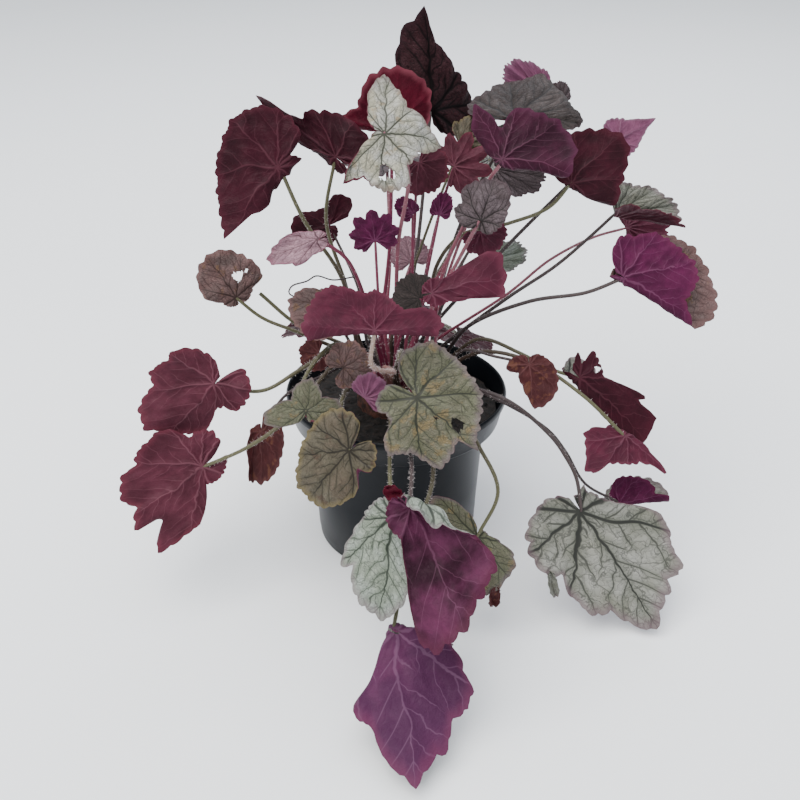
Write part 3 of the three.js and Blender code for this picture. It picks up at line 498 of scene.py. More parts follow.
def leaf_finish(name, ground, second, vein, halo, rim, width=0.02, vein_depth=1.0, net=0.62,
                halo_share=0.6, rim_share=0.6, stain=None, raised=False, roughness=0.5,
                gloss=0.3):
    """The finish of one side of a blade: its two ground colours, then those of its veins,
    of the shade beside them and of its rim."""
    finish, tree, shader = new_finish(name, Specular_IOR_Level=gloss)
    lines = use_group(tree, veins, Vein_Width=width)
    drawn = attribute(tree, "flat")["Vector"]
    clouds = add(tree, "TexNoise", drawn, None, 2.6, 3.0, 0.55)
    mottle = add(tree, "TexNoise", drawn, None, 11.0, 4.0, 0.6)
    # Broad patches of the second ground colour over the first. On the plum underside, where the
    # second colour is the lighter one, these patches are a painted sheen.
    colour = blend_colour(tree, ramp(tree, clouds, 0.36, 0.64), paint(ground), paint(second))
    shade = ramp(tree, mottle, 0.3, 0.7, 0.0, 0.35)
    colour = blend_colour(tree, shade, colour, paint(halo))
    beside_veins = calculate(tree, "MULTIPLY", lines["Halo"], halo_share)
    colour = blend_colour(tree, beside_veins, colour, paint(halo))
    if stain:
        spots = add(tree, "TexNoise", drawn, None, 4.2, 4.0, 0.6)
        spots = ramp(tree, spots, 0.56, 0.66, 0.0, 0.8)
        colour = blend_colour(tree, spots, colour, paint(stain))
    lined = calculate(tree, "MAXIMUM", lines["Main"], calculate(tree, "MULTIPLY", lines["Side"], 0.8))
    lined = calculate(tree, "MAXIMUM", lined, calculate(tree, "MULTIPLY", lines["Net"], net))
    lined = calculate(tree, "MULTIPLY", lined, vein_depth)
    colour = blend_colour(tree, lined, colour, paint(vein))
    at_rim = ramp(tree, attribute(tree, "share")["Fac"], 0.86, 1.0, 0.0, rim_share)
    colour = blend_colour(tree, at_rim, colour, paint(rim))
    tree.links.new(colour, shader.inputs["Base Color"])
    dullness = ramp(tree, mottle, 0.2, 0.8, roughness - 0.09, roughness + 0.1)
    tree.links.new(dullness, shader.inputs["Roughness"])
    relief(tree, shader, lines["Puff"], 0.25 if raised else 0.5, 0.0006, sunk=raised)
    return finish


SILVER = leaf_finish("upper_silver", "8e8d86", "7a796d", "22231e", "53564a", "6a555c", width=0.018)
MINT = leaf_finish("upper_mint", "989f97", "868d7f", "262d24", "5c6656", "756a6d", width=0.017)
TAUPE = leaf_finish("upper_taupe", "62565a", "4d4244", "191313", "393031", "45363a", width=0.022,
                    gloss=0.15)
SLATE = leaf_finish("upper_slate", "433a38", "332b2a", "110d0c", "241e1c", "37292b", width=0.022,
                    gloss=0.15)
CREAM = leaf_finish("upper_cream", "b3b1ae", "a39d88", "35362c", "77786a", "6f5f5b", width=0.018,
                    stain="8d7d62")
OLIVE = leaf_finish("upper_olive", "676653", "5b5747", "232418", "43472f", "604f56", width=0.021,
                    stain="6e5e3d")
BRONZE = leaf_finish("upper_bronze", "584d40", "5d5648", "221d15", "39372a", "766842", width=0.02,
                     stain="44352a", net=0.45, rim_share=0.45, gloss=0.2)
DUSK = leaf_finish("upper_dusk", "2a1418", "3a2226", "080405", "170b0e", "2b171d", width=0.026,
                   gloss=0.06)
BLUSH = leaf_finish("upper_blush", "a8848f", "8b6c77", "50383e", "8b6973", "754053", gloss=0.2)
RUSSET_TOP = leaf_finish("upper_russet", "6b5250", "5b4d4b", "2c1e1c", "453230", "6d504e",
                         stain="644b38", gloss=0.15)


def underside(name, *colours, **own):
    """The duller finish beneath a blade, where the veins stand out but show little."""
    return leaf_finish("under_" + name, *colours, vein_depth=0.2, net=0.1, halo_share=0.08,
                       raised=True, gloss=0.08, **own)


# The wine underside is the leaf's own wine red, lightened and greyed a little by a painted sheen.
WINE = underside("wine", "4d2430", "3c1a24", "8a5c66", "36141e", "5c2834", width=0.01)
ROSE = underside("rose", "4c1d2d", "3f1926", "805562", "381624", "5f2d3c", width=0.011)
MAROON = underside("maroon", "35111c", "270c14", "6a3f49", "200811", "431824", width=0.01)
PURPLE = underside("purple", "391427", "29101d", "87586d", "220a15", "4b2238", width=0.01)
# The plum underside is dark plum, with broad lighter pink-purple patches that are a painted sheen.
PLUM = underside("plum", "280e1c", "582843", "85566f", "1c0812", "4d2133", width=0.01)
VIOLET = underside("violet", "512744", "42203b", "8c6882", "391933", "5f2d47", width=0.012)
MAGENTA = underside("magenta", "52193b", "41132f", "8d5c79", "380f28", "5a223f", width=0.01)
# The crimson underside is partly the leaf's own red and partly a painted glow: its saturated red
# stands in for daylight shining through the thin blade.
CRIMSON = underside("crimson", "4c0c1e", "3d0918", "7a2c40", "360815", "7a3c48", width=0.009)
RUSSET = underside("russet", "4b2728", "3c1e20", "745050", "331618", "573435", width=0.012,
                     stain="5b382b")
PINK = underside("pink", "774760", "643a50", "9f7b8d", "5a314a", "7c5b6c", width=0.012)


def stalk_finish(name, foot, head):
    """A petiole's finish, from its colour at the crown to its colour under the blade."""
    finish, tree, shader = new_finish(name, Roughness=0.48, Specular_IOR_Level=0.3)
    where = object_place(tree)
    streaks = add(tree, "TexNoise", where, None, 420.0, 3.0, 0.6)
    wander = calculate(tree, "MULTIPLY_ADD", streaks, 0.5, attribute(tree, "share")["Fac"])
    colour = blend_colour(tree, ramp(tree, wander, 0.45, 1.15), paint(foot), paint(head))
    tree.links.new(colour, shader.inputs["Base Color"])
    relief(tree, shader, streaks, 0.25, 0.0003)
    return finish


STALK_GREEN = stalk_finish("stalk_green", "3d3029", "504e37")
STALK_DARK = stalk_finish("stalk_dark", "33292a", "3d3231")
STALK_PINK = stalk_finish("stalk_pink", "722f42", "7a4c55")
STALK_RED = stalk_finish("stalk_red", "621d36", "69293e")
STALK_PALE = stalk_finish("stalk_pale", "8a5e58", "9b8578")

down_finish, tree, shader = new_finish("white_down", Roughness=0.6)
where = object_place(tree)
tufts = add(tree, "TexNoise", where, None, 90.0)
colour = blend_colour(tree, tufts, paint("cdbfc0"), paint("e8e2de"))
tree.links.new(colour, shader.inputs["Base Color"])

# --------------------------------
# Petioles: long, smooth, juicy stalks, thickened to a sheath where they leave the crown and
# covered in fine white hairs that stand straight out.
# --------------------------------

SOCKET_DEPTH = 8
STRAIGHT_ROOT = (-SOCKET_DEPTH, 0, SOCKET_DEPTH, 15)
STALK_STEP = 2
STALK_SIDES = 10
POINTS_EACH_BEND = 24
SHEATH_THICKNESS = 1.1
SHEATH_LENGTH = 13
HAIR_THICKNESS = 0.075
HAIR_LENGTH = (0.7, 1.7)
HAIR_LEAN = 0.35
# The share of the way up where the hairs begin, and where they end.
HAIRY_STRETCH = (0.1, 0.985)


def compass(direction, height):
    """A unit vector from a compass direction and a height above level, in degrees."""
    a, b = math.radians(direction), math.radians(height)
    return np.array([math.cos(b) * math.cos(a), math.cos(b) * math.sin(a), math.sin(b)])


def unit(v):
    """Vectors with the length 1."""
    return v / np.maximum(np.linalg.norm(v, axis=-1, keepdims=True), 1e-9)


def stalk_root(place):
    """The points of a petiole in its socket and just above, from its ring and its number."""
    ring, number = place
    radius, height, places, lean = CROWN_RINGS[ring]
    direction = -90 + 360 * number / places
    mouth = radius * compass(direction, 0) + [0, 0, height]
    return [mouth + along * compass(direction, 90 - lean) for along in STRAIGHT_ROOT]


def smooth_path(points, step):
    """Evenly spaced points on a smooth curve through the given ones."""
    points = np.array(points, float)
    outer = np.vstack([2 * points[0] - points[1], points, 2 * points[-1] - points[-2]])
    run = []
    for a, b, c, d in zip(outer, outer[1:], outer[2:], outer[3:]):
        t1 = np.linalg.norm(b - a) ** 0.5
        t2 = t1 + np.linalg.norm(c - b) ** 0.5
        t3 = t2 + np.linalg.norm(d - c) ** 0.5
        t = np.linspace(t1, t2, POINTS_EACH_BEND, endpoint=False)[:, None]
        ab = (t1 - t) / t1 * a + t / t1 * b
        bc = (t2 - t) / (t2 - t1) * b + (t - t1) / (t2 - t1) * c
        cd = (t3 - t) / (t3 - t2) * c + (t - t2) / (t3 - t2) * d
        first = (t2 - t) / t2 * ab + t / t2 * bc
        second = (t3 - t) / (t3 - t1) * bc + (t - t1) / (t3 - t1) * cd
        run.append((t2 - t) / (t2 - t1) * first + (t - t1) / (t2 - t1) * second)
    run = np.vstack([*run, points[-1:]])
    length = np.concatenate([[0], np.cumsum(np.linalg.norm(np.diff(run, axis=0), axis=1))])
    even = np.linspace(0, length[-1], max(4, round(length[-1] / step) + 1))
    return np.stack([np.interp(even, length, run[:, k]) for k in range(3)], axis=1), even


def stalk(path, radii, sides=STALK_SIDES):
    """A round tube along a path, closed by a point at each end."""
    ahead = unit(np.gradient(path, axis=0))
    side = unit(np.cross(ahead[0], [0.3, 1, 0.2]))
    turn = np.linspace(0, 2 * np.pi, sides, endpoint=False)[:, None]
    rings = []
    for point, forward, radius in zip(path, ahead, radii):
        side = unit(side - forward * (side @ forward))
        over = np.cross(forward, side)
        rings.append(point + radius * (np.cos(turn) * side + np.sin(turn) * over))
    points = np.vstack([*rings, path[:1], path[-1:]])
    faces = []
    for row in range(len(path) - 1):
        for i in range(sides):
            j = (i + 1) % sides
            a = row * sides
            faces.append([a + i, a + j, a + sides + j, a + sides + i])
    foot = len(path) * sides
    last = foot - sides
    for i in range(sides):
        j = (i + 1) % sides
        faces.append([foot, j, i])
        faces.append([foot + 1, last + i, last + j])
    return points, faces


def sheath(run):
    """How much thicker a petiole is near the crown, by the distance along it."""
    return SHEATH_THICKNESS * np.exp(-((run / SHEATH_LENGTH) ** 2))


def down(path, radii, count, draw):
    """Fine hairs that stand out of a petiole, each a thin spike of three sides."""
    ahead = unit(np.gradient(path, axis=0))
    at = draw.uniform(*HAIRY_STRETCH, count) * (len(path) - 1)
    low = at.astype(int)
    part = (at - low)[:, None]
    centre = path[low] * (1 - part) + path[low + 1] * part
    forward = ahead[low]
    out = unit(np.cross(forward, draw.normal(size=(count, 3))))
    lean = unit(out + forward * draw.uniform(-HAIR_LEAN, HAIR_LEAN, (count, 1)))
    root = centre + out * (radii[low][:, None] * 0.9)
    tip = root + lean * draw.uniform(*HAIR_LENGTH, (count, 1))
    first = unit(np.cross(lean, forward)) * HAIR_THICKNESS
    second = np.cross(lean, first)
    corners = [root + first, root - 0.5 * first + 0.87 * second, root - 0.5 * first - 0.87 * second]
    points = np.stack([*corners, tip], axis=1).reshape(-1, 3)
    faces = []
    for a in range(0, 4 * count, 4):
        faces.extend([[a, a + 1, a + 3], [a + 1, a + 2, a + 3], [a + 2, a, a + 3], [a, a + 2, a + 1]])
    return points, faces


# --------------------------------
# Leaves: each one a round, lobed and blunt-toothed blade on its own petiole. The blade is
# drawn flat, then quilted between its veins, waved, rolled at its margin and folded.
# --------------------------------

# The lobes are discs: direction from the midrib, distance of the centre, radius.
LOBES = [(0, 0.58, 0.42), (43, 0.56, 0.41), (86, 0.49, 0.36), (129, 0.4, 0.31), (158, 0.25, 0.24)]
TOOTH = LOBE_ANGLE / 3
TEETH_EACH_SIDE = 12
TOOTH_DEPTH = 0.06
# The margin ends each side in the notch at the petiole.
NOTCH_ANGLE = 172
NOTCH_REACH = 0.12
BLADE_DOME = -0.05
PLEAT = -0.03
PLEATED_BELOW = 1.2
MARGIN_WAVE = 0.035
MARGIN_WAVES = 5
WAVE_SHIFT = 2.4
FRILL_TEETH = 2.3
CRUMPLE_SIZES = (0.9, 0.5, 0.3)
DRAWING_STRAYS = 0.018
QUILT_DEPTH = 0.005
GROOVE_DEPTH = 0.01
GROOVE_WIDTH = 0.03
BLADE_THICKNESS = 0.55
RIM_THICKNESS = 0.32
RIB_HEIGHT = 0.55
RIB_WIDTH = 0.9
PETIOLE_TAPER = 0.22
# Rows of a blade lie closer together towards its margin.
ROW_CROWDING = 1.15
BLADE_DRAW = 1000
HAIR_DRAW = 2000

# A size class: rows of the blade from base to margin, columns for each tooth, the petiole's
# radius, and how far the teeth of the longest lobes are split in two.
LARGE = (26, 8, 1.3, 1.0)
MIDDLE = (20, 6, 1.25, 0.4)
SMALL = (14, 5, 1.0, 0.0)


def toothing(angle, own, split):
    """Round teeth with sharp gaps between them, each split in two on the longest lobes."""
    bite = 1 + 0.5 * np.sin(angle * 0.11 + own * 9)
    gap = 1 - np.abs(np.cos(np.pi * angle / TOOTH))
    split_gap = 1 - np.abs(np.cos(2 * np.pi * angle / TOOTH))
    return 1 - TOOTH_DEPTH * bite * gap * (1 - 0.6 * split) - 0.65 * TOOTH_DEPTH * split * split_gap


def margin_reach(angle, form, own):
    """How far the margin lies from the blade's base, by the angle from the midrib."""
    if form["outline"]:
        corners = {-NOTCH_ANGLE: NOTCH_REACH, **dict(form["outline"])}
        corners.setdefault(NOTCH_ANGLE, NOTCH_REACH)
        reach = np.interp(angle, list(corners), list(corners.values()))
        return reach * toothing(angle, own, form["split"] * np.clip((reach - 0.5) / 0.3, 0, 1))
    reach = np.full(angle.shape, NOTCH_REACH)
    for axis, centre, radius in LOBES:
        off = np.radians(np.abs(angle) - axis)
        side = centre * np.sin(off)
        met = (np.abs(side) <= radius) & (np.cos(off) >= 0)
        edge = centre * np.cos(off) + np.sqrt(np.maximum(radius**2 - side**2, 0))
        reach = np.maximum(reach, np.where(met, edge, 0))
    # The lobes of a narrow fan run together.
    ends = [axis for axis, _, _ in LOBES] + [TEETH_EACH_SIDE * TOOTH]
    tips = [centre + radius for _, centre, radius in LOBES] + [NOTCH_REACH]
    even = np.interp(np.abs(angle), ends, tips)
    reach += np.clip(1 - form["spread"], 0, 1) * np.maximum(even - reach, 0)
    between_lobes = (0.5 - 0.5 * np.cos(2 * np.pi * angle / LOBE_ANGLE)) ** 2
    return reach * toothing(angle, own, 0) * (1 - form["cut"] * between_lobes)


def quilting(flat, own):
    """Relief of the upper side: puffed between the veins and sunk along them."""
    reach = np.hypot(flat[:, 0], flat[:, 1])
    angle = np.abs(np.arctan2(flat[:, 1], flat[:, 0]))
    lobe = np.round(angle / math.radians(LOBE_ANGLE))
    off = angle - np.minimum(lobe * math.radians(LOBE_ANGLE), math.radians(LAST_LOBE))
    along = reach * np.cos(off)
    across = reach * np.sin(off)
    steps = (along - SIDE_VEIN_RISE * np.abs(across)) / SIDE_VEIN_STEP
    shift = SIDE_SHIFT * (across > 0) + LOBE_SHIFT * lobe + own
    pads = -np.cos(2 * np.pi * (steps + shift - 0.5)) * np.minimum(np.abs(across) / 0.1, 1)
    groove = np.exp(-((across / GROOVE_WIDTH) ** 2)) * np.minimum(reach / 0.1, 1)
    return QUILT_DEPTH * pads * np.minimum(reach / 0.3, 1) - GROOVE_DEPTH * groove


def fold(p, direction, start, angle, radius):
    """Turns the part of the blade past a line round a cylinder that lies along that line."""
    along = np.array([math.cos(math.radians(direction)), math.sin(math.radians(direction))])
    past = p[:, :2] @ along - start
    side = math.copysign(1, angle)
    turn = math.radians(abs(angle))
    bent = np.clip(past / radius, 0, turn)
    straight = np.maximum(past - radius * turn, 0)
    height = side * p[:, 2]
    new_past = (radius - height) * np.sin(bent) + straight * np.cos(bent)
    new_height = radius - (radius - height) * np.cos(bent) + straight * np.sin(bent)
    hit = past > 0
    q = p.copy()
    q[:, :2] += np.where(hit, new_past - past, 0)[:, None] * along
    q[:, 2] = np.where(hit, side * new_height, p[:, 2])
    return q


def wings(left, right, turn=110):
    """Side lobes turned back round the petiole, past an angle from the midrib each side."""
    return [(90 + left, 0.03, turn, 0.08), (-90 - right, 0.03, turn, 0.08)]


def blade(rows, columns, form, own, seed):
    """The middle surface of a blade, flat and formed, with its faces and its rim shares."""
    count = 2 * TEETH_EACH_SIDE * columns + 1
    angle = np.linspace(-TEETH_EACH_SIDE * TOOTH, TEETH_EACH_SIDE * TOOTH, count)
    share = 1 - (1 - np.linspace(0, 1, rows + 1)[1:]) ** ROW_CROWDING
    reach = margin_reach(angle, form, own)
    draw = np.random.default_rng(BLADE_DRAW + seed)
    r = (share[:, None] * reach).ravel()
    a = np.tile(angle, rows)
    s = np.repeat(share, count)
    turn = form["spread"] * np.radians(a)
    wide = np.where(a > 0, form["wide"][0], form["wide"][1])
    true = np.stack([r * np.cos(np.radians(a)), r * np.sin(np.radians(a))], axis=1)

    flat = true.copy()
    crumple = np.zeros(len(r))
    for size in CRUMPLE_SIZES:
        for axis in range(2):
            way = draw.normal(size=2)
            way *= 2 * np.pi / size / np.linalg.norm(way)
            flat[:, axis] += DRAWING_STRAYS * size * np.sin(true @ way + draw.uniform(0, 6.3))
            crumple += size * np.sin(true @ way * 1.3 + draw.uniform(0, 6.3))
    wave = MARGIN_WAVE * np.sin(MARGIN_WAVES * np.radians(a) + WAVE_SHIFT * seed)
    pleat = PLEAT * (PLEATED_BELOW - form["spread"]) * np.cos(2 * np.pi * a / LOBE_ANGLE)
    height = (BLADE_DOME + wave) * r**2 + pleat * r
    height += form["quilt"] * quilting(flat, own) + form["crumple"] * crumple * np.minimum(r / 0.3, 1)
    height += form["frill"] * s**6 * np.sin(2 * np.pi * a / TOOTH / FRILL_TEETH + seed)

    for middle, half, start, bend in form["rolls"]:
        near = np.clip(1 - np.abs(a - middle) / half, 0, 1)
        bend = math.radians(bend) * near * near * (3 - 2 * near)
        edge = np.tile(reach, rows)
        radius = edge * (1 - start) / np.maximum(np.abs(bend), 1e-4)
        past = np.maximum(r - start * edge, 0)
        r = np.minimum(r, start * edge) + radius * np.sin(past / radius)
        height = height + np.sign(bend) * radius * (1 - np.cos(past / radius))

    p = np.stack([r * np.cos(turn), wide * r * np.sin(turn), height], axis=1)
    for line in form["folds"]:
        p = fold(p, *line)
    p = np.vstack([[[0, 0, 0]], p])
    flat = np.vstack([[[0, 0]], flat])
    s = np.concatenate([[0], s])

    faces = [[0, 1 + i, 2 + i] for i in range(count - 1)]
    for row in range(rows - 1):
        low = 1 + row * count
        for i in range(low, low + count - 1):
            faces.append([i, i + count, i + count + 1, i + 1])
    for x, y, size in form["holes"]:
        away = flat - [x, y]
        far = np.linalg.norm(away, axis=1)
        ragged = size * (1 + 0.25 * np.sin(3 * np.arctan2(away[:, 1], away[:, 0]) + seed))
        faces = [f for f in faces if np.mean(far[f]) > np.mean(ragged[f])]
    return p, flat, s, faces


def sheet(p, faces, thickness, rib):
    """Gives a surface its thickness, with ribs beneath. A face is 0 above and 1 elsewhere."""
    normals = np.zeros_like(p)
    for f in faces:
        n = np.cross(p[f[1]] - p[f[0]], p[f[-1]] - p[f[0]])
        for corner in f:
            normals[corner] += n
    normals = unit(normals)
    half = thickness[:, None] / 2
    points = np.vstack([p + normals * half, p - normals * (half + rib[:, None])])
    under = len(p)
    edges = {}
    for f in faces:
        for a, b in zip(f, f[1:] + f[:1]):
            edges[(a, b)] = True
    walls = [[b, a, under + a, under + b] for a, b in edges if (b, a) not in edges]
    below = [[under + i for i in reversed(f)] for f in faces]
    return points, faces + below + walls, [0] * len(faces) + [1] * (len(below) + len(walls))


def carry(made, shares, drawing=None):
    """Lets the points of a piece carry what its finish reads: how far out they lie, from 0
    to 1, and on a blade their place in its flat drawing."""
    kept = made.data.attributes
    if drawing is not None:
        kept.new("flat", "FLOAT_VECTOR", "POINT").data.foreach_set("vector", drawing.ravel())
    kept.new("share", "FLOAT", "POINT").data.foreach_set("value", shares)


def join_up(parts):
    """Joins (points, faces) parts into one list of points and one of faces."""
    points, faces = [], []
    start = 0
    for some, rings in parts:
        points.append(some)
        faces.extend([[start + i for i in f] for f in rings])
        start += len(some)
    return np.vstack(points), faces


leaves_made = []


def leaf(name, size, place, base, tip, looks_to, by, upper, under, petiole,
         spread=1, wide=(1, 1), cut=0.0, outline=(), folds=(), rolls=(), holes=(),
         crumple=0.007, frill=0.008, quilt=1.0, hairs=1.2):
    """Makes a leaf from its base and tip, the way its upper side looks, and its form.

    place: its ring and its number in the crown. looks_to: a compass direction and a height.
    by: points on the petiole's way. spread: how far the fan opens, 1 for all the way round.
    wide: how wide the left and the right half are. cut: depth of the gaps between the lobes.
    outline: the margin's distance from the base by the angle from the midrib, in shares of
    the midrib's length, a pair for each lobe and each gap. It ends in the notch, unless it
    gives ends of its own. folds: direction and distance of the folded part, angle, radius.
    rolls: middle and half width of a stretch of margin, the share where it starts to roll,
    angle. holes: x, y, size. hairs: how many on each millimetre.
    """
    rows, columns, radius, split = size
    seed = len(leaves_made)
    own = (0.37 * seed) % 1
    form = dict(split=split, spread=spread, wide=wide, cut=cut, outline=outline, folds=folds,
                rolls=rolls, holes=holes, crumple=crumple, frill=frill, quilt=quilt)
    foot = np.array(base, float)
    midrib = np.array(tip, float) - foot
    length = np.linalg.norm(midrib)
    midrib /= length
    face_up = compass(*looks_to)
    face_up = unit(face_up - midrib * (face_up @ midrib))
    left = np.cross(face_up, midrib)
    p, flat, share, faces = blade(rows, columns, form, own, seed)
    p = foot + length * (p @ np.array([midrib, left, face_up]))
    reach = np.hypot(flat[:, 0], flat[:, 1])
    angle = np.degrees(np.abs(np.arctan2(flat[:, 1], flat[:, 0])))
    off = np.radians(angle - np.minimum(np.round(angle / LOBE_ANGLE) * LOBE_ANGLE, LAST_LOBE))
    rib = RIB_HEIGHT * np.exp(-((reach * np.sin(off) * length / RIB_WIDTH) ** 2))
    rib *= np.clip(1 - reach, 0, 1)
    thickness = BLADE_THICKNESS + (RIM_THICKNESS - BLADE_THICKNESS) * share**3
    skin, skin_faces, skin_finish = sheet(p, faces, thickness, rib)

    path, run = smooth_path([*stalk_root(place), *by, base], STALK_STEP)
    rise = run / run[-1]
    radii = radius * (1 - PETIOLE_TAPER * rise) + sheath(run)
    # The last two rings narrow, so that the petiole ends inside the blade.
    radii[-2:] *= (0.9, 0.7)
    tube, tube_faces = stalk(path, radii)
    draw = np.random.default_rng(HAIR_DRAW + seed)
    hair, hair_faces = down(path, radii, int(hairs * run[-1]), draw)

    points, faces = join_up([(skin, skin_faces), (tube, tube_faces), (hair, hair_faces)])
    finish_of_face = skin_finish + [2] * len(tube_faces) + [3] * len(hair_faces)
    made = piece("blade_" + name, points, faces, [upper, under, petiole, down_finish], finish_of_face)
    stalk_share = np.concatenate([np.repeat(rise, STALK_SIDES), [0, 1], np.ones(len(hair))])
    drawing = np.zeros((len(points), 3))
    drawing[: 2 * len(flat), :2] = np.vstack([flat, flat])
    drawing[:, 2] = own
    shares = np.concatenate([share, share, stalk_share])
    carry(made, shares, drawing)
    dress(made, "leaf_" + name)
    leaves_made.append(name)


# --------------------------------
# Leaves at the top of the plant: the tall folded dark one, the round crimson one, the
# silver one at the front and the small ones between them, on the straightest petioles.
# --------------------------------

leaf("top_dark", MIDDLE, ("inner", 4), (20, 72, 243), (16, 84, 299.5), (-90, 15),
     [(12, 35, 170)], DUSK, PLUM, STALK_DARK,
     wide=(1.2, 1.2), outline=[(-140, 0.35), (-105, 0.52), (-66, 0.44), (-31, 0.5), (-10, 0.66),
     (0, 1), (18, 0.83), (33, 0.58), (43, 0.47), (90, 0.4), (150, 0.3)],
     folds=[(90, 0.02, -35, 0.1), (-90, 0.02, -35, 0.1)], quilt=1.6)
leaf("red_round", MIDDLE, ("inner", 6), (-2, 47, 240), (1, 52, 273), (90, -15),
     [(-4, 26, 175)], DUSK, CRIMSON, STALK_RED,
     outline=[(-120, 0.5), (-93, 0.73), (-81, 0.9), (-68, 0.7), (-51, 0.75), (-31, 0.93),
     (-15, 0.99), (0, 1), (38, 0.92), (62, 0.7), (89, 0.56), (120, 0.5)], folds=wings(95, 100),
     frill=0.02)
leaf("silver_top", LARGE, ("heart", 0), (-6, -20, 255), (30, -14, 249), (-95, 35),
     [(1, -9, 190), (6, -15, 236)], CREAM, WINE, STALK_PINK,
     outline=[(-150, 0.2), (-135, 0.5), (-124, 1.04), (-112, 0.8), (-98, 0.79), (-78, 0.82),
     (-60, 0.8), (-49, 0.56), (-21, 0.56), (-8, 0.85), (0, 1), (13, 0.79), (28, 0.62), (52, 0.52),
     (72, 0.65), (91, 0.82), (111, 0.61), (128, 0.37), (156, 0.2)], folds=[(0, 0.4, -30, 0.3)],
     rolls=[(-118, 25, 0.85, 150)], holes=[(0.07, -0.556, 0.1)], crumple=0.012, frill=0.02)
leaf("wine_hanging", SMALL, ("heart", 1), (12, 4, 233), (21, 3, 217), (90, -15),
     [(9, 4, 180), (11, 4, 222)], OLIVE, WINE, STALK_RED,
     spread=0.8, frill=0.03)
leaf("wine_behind", SMALL, ("inner", 3), (31, 12, 228), (50, 19, 236), (90, -30),
     [(22, 10, 195)], OLIVE, WINE, STALK_RED,
     spread=0.8, cut=0.25, frill=0.03)
leaf("withered_small", SMALL, ("heart", 1.4), (36, 36, 233), (54, 42, 243), (-90, 40),
     [(17, 27, 185)], BRONZE, RUSSET, STALK_GREEN,
     spread=0.5, crumple=0.03)
leaf("upper_left_arch", MIDDLE, ("middle", 14), (-33, 20, 231), (-75, 34, 260), (90, -20),
     [(-29, 12, 160), (-39, 17, 196)], SILVER, MAROON, STALK_GREEN,
     wide=(0.55, 0.3), outline=[(-60, 0.6), (0, 1), (4, 0.95), (8, 0.69), (26, 0.63), (51, 0.65),
     (67, 0.72), (81, 0.73), (112, 0.68), (123, 0.62), (135, 0.35)],
     folds=[(-90, 0.02, 150, 0.05)], rolls=[(20, 25, 0.6, -120)], frill=0.014)
leaf("upper_left_wine", LARGE, ("middle", 15), (-60, -10, 235), (-89, -20, 199), (90, -30),
     [(-30, 0, 168), (-49, -5, 204)], SILVER, MAROON, STALK_GREEN,
     spread=1.1, outline=[(-120, 0.3), (-60, 0.3), (-20, 0.36), (-5, 0.62), (0, 1), (7, 0.94),
     (15, 0.84), (36, 0.74), (62, 0.7), (90, 0.72), (113, 0.68), (140, 0.56), (163, 0.42)],
     folds=[(-90, 0.03, 125, 0.08)], crumple=0.016, frill=0.016)

# --------------------------------
# Leaves at the upper right: purple and brown umbrellas seen from beneath, under a dark one
# that arches over them and two small pink ones that stand up behind it.
# --------------------------------

leaf("purple_right", MIDDLE, ("middle", 4), (55, -15, 240), (83, -5, 257), (90, -30),
     [(25, -4, 170), (47, -8, 224)], SILVER, PURPLE, STALK_PINK,
     outline=[(-110, 0.5), (-92, 0.8), (-84, 0.93), (-76, 0.78), (-66, 0.55), (-58, 0.45),
     (-50, 0.68), (-39, 0.8), (-17, 0.86), (0, 1), (29, 1.1), (38, 1.05), (60, 0.9), (120, 0.6)],
     folds=wings(38, 92))
leaf("dark_arch", MIDDLE, ("middle", 7), (65, 34, 248), (110, 42, 258), (-90, 70),
     [(36, 24, 190)], SLATE, MAROON, STALK_DARK,
     spread=0.9, wide=(1, 0.5), folds=[(0, 0.6, -75, 0.2)], quilt=1.5)
leaf("pink_top", SMALL, ("middle", 9), (87, 80, 251), (62, 82, 267), (90, -20),
     [(46, 50, 190), (72, 68, 234)], SILVER, PINK, STALK_PINK,
     spread=0.5, wide=(0.6, 0.6))
leaf("bud_top", SMALL, ("middle", 8), (94, 64, 250), (93, 66, 262), (-90, 20),
     [(54, 48, 185)], TAUPE, WINE, STALK_RED,
     spread=0.5, wide=(0.8, 0.8))
leaf("right_dark", MIDDLE, ("middle", 6), (94, 5, 222), (119, 12, 246), (90, -25),
     [(22, 5, 172), (36, 5, 192), (62, 5, 199), (83, 5, 208)], DUSK, MAROON, STALK_GREEN,
     outline=[(-120, 0.4), (-95, 0.7), (-87, 0.8), (-70, 0.6), (-50, 0.7), (-18, 0.89), (0, 1),
     (15, 0.98), (30, 0.85), (41, 0.8), (50, 0.74), (67, 0.77), (100, 0.6)], folds=wings(64, 92))
leaf("right_pink", MIDDLE, ("outer", 11), (127, 61, 229), (149, 66, 240), (90, -20),
     [(60, 42, 165), (103, 56, 206)], SILVER, PINK, STALK_DARK,
     outline=[(-90, 0.5), (-30, 0.55), (-12, 0.75), (0, 1.05), (12, 0.75), (30, 0.6), (90, 0.45)])

# --------------------------------
# Leaves on the right: the big purple one, folded up so that its bronze half shows behind,
# the silver one shut like a book above it, and the paler ones towards the middle.
# --------------------------------

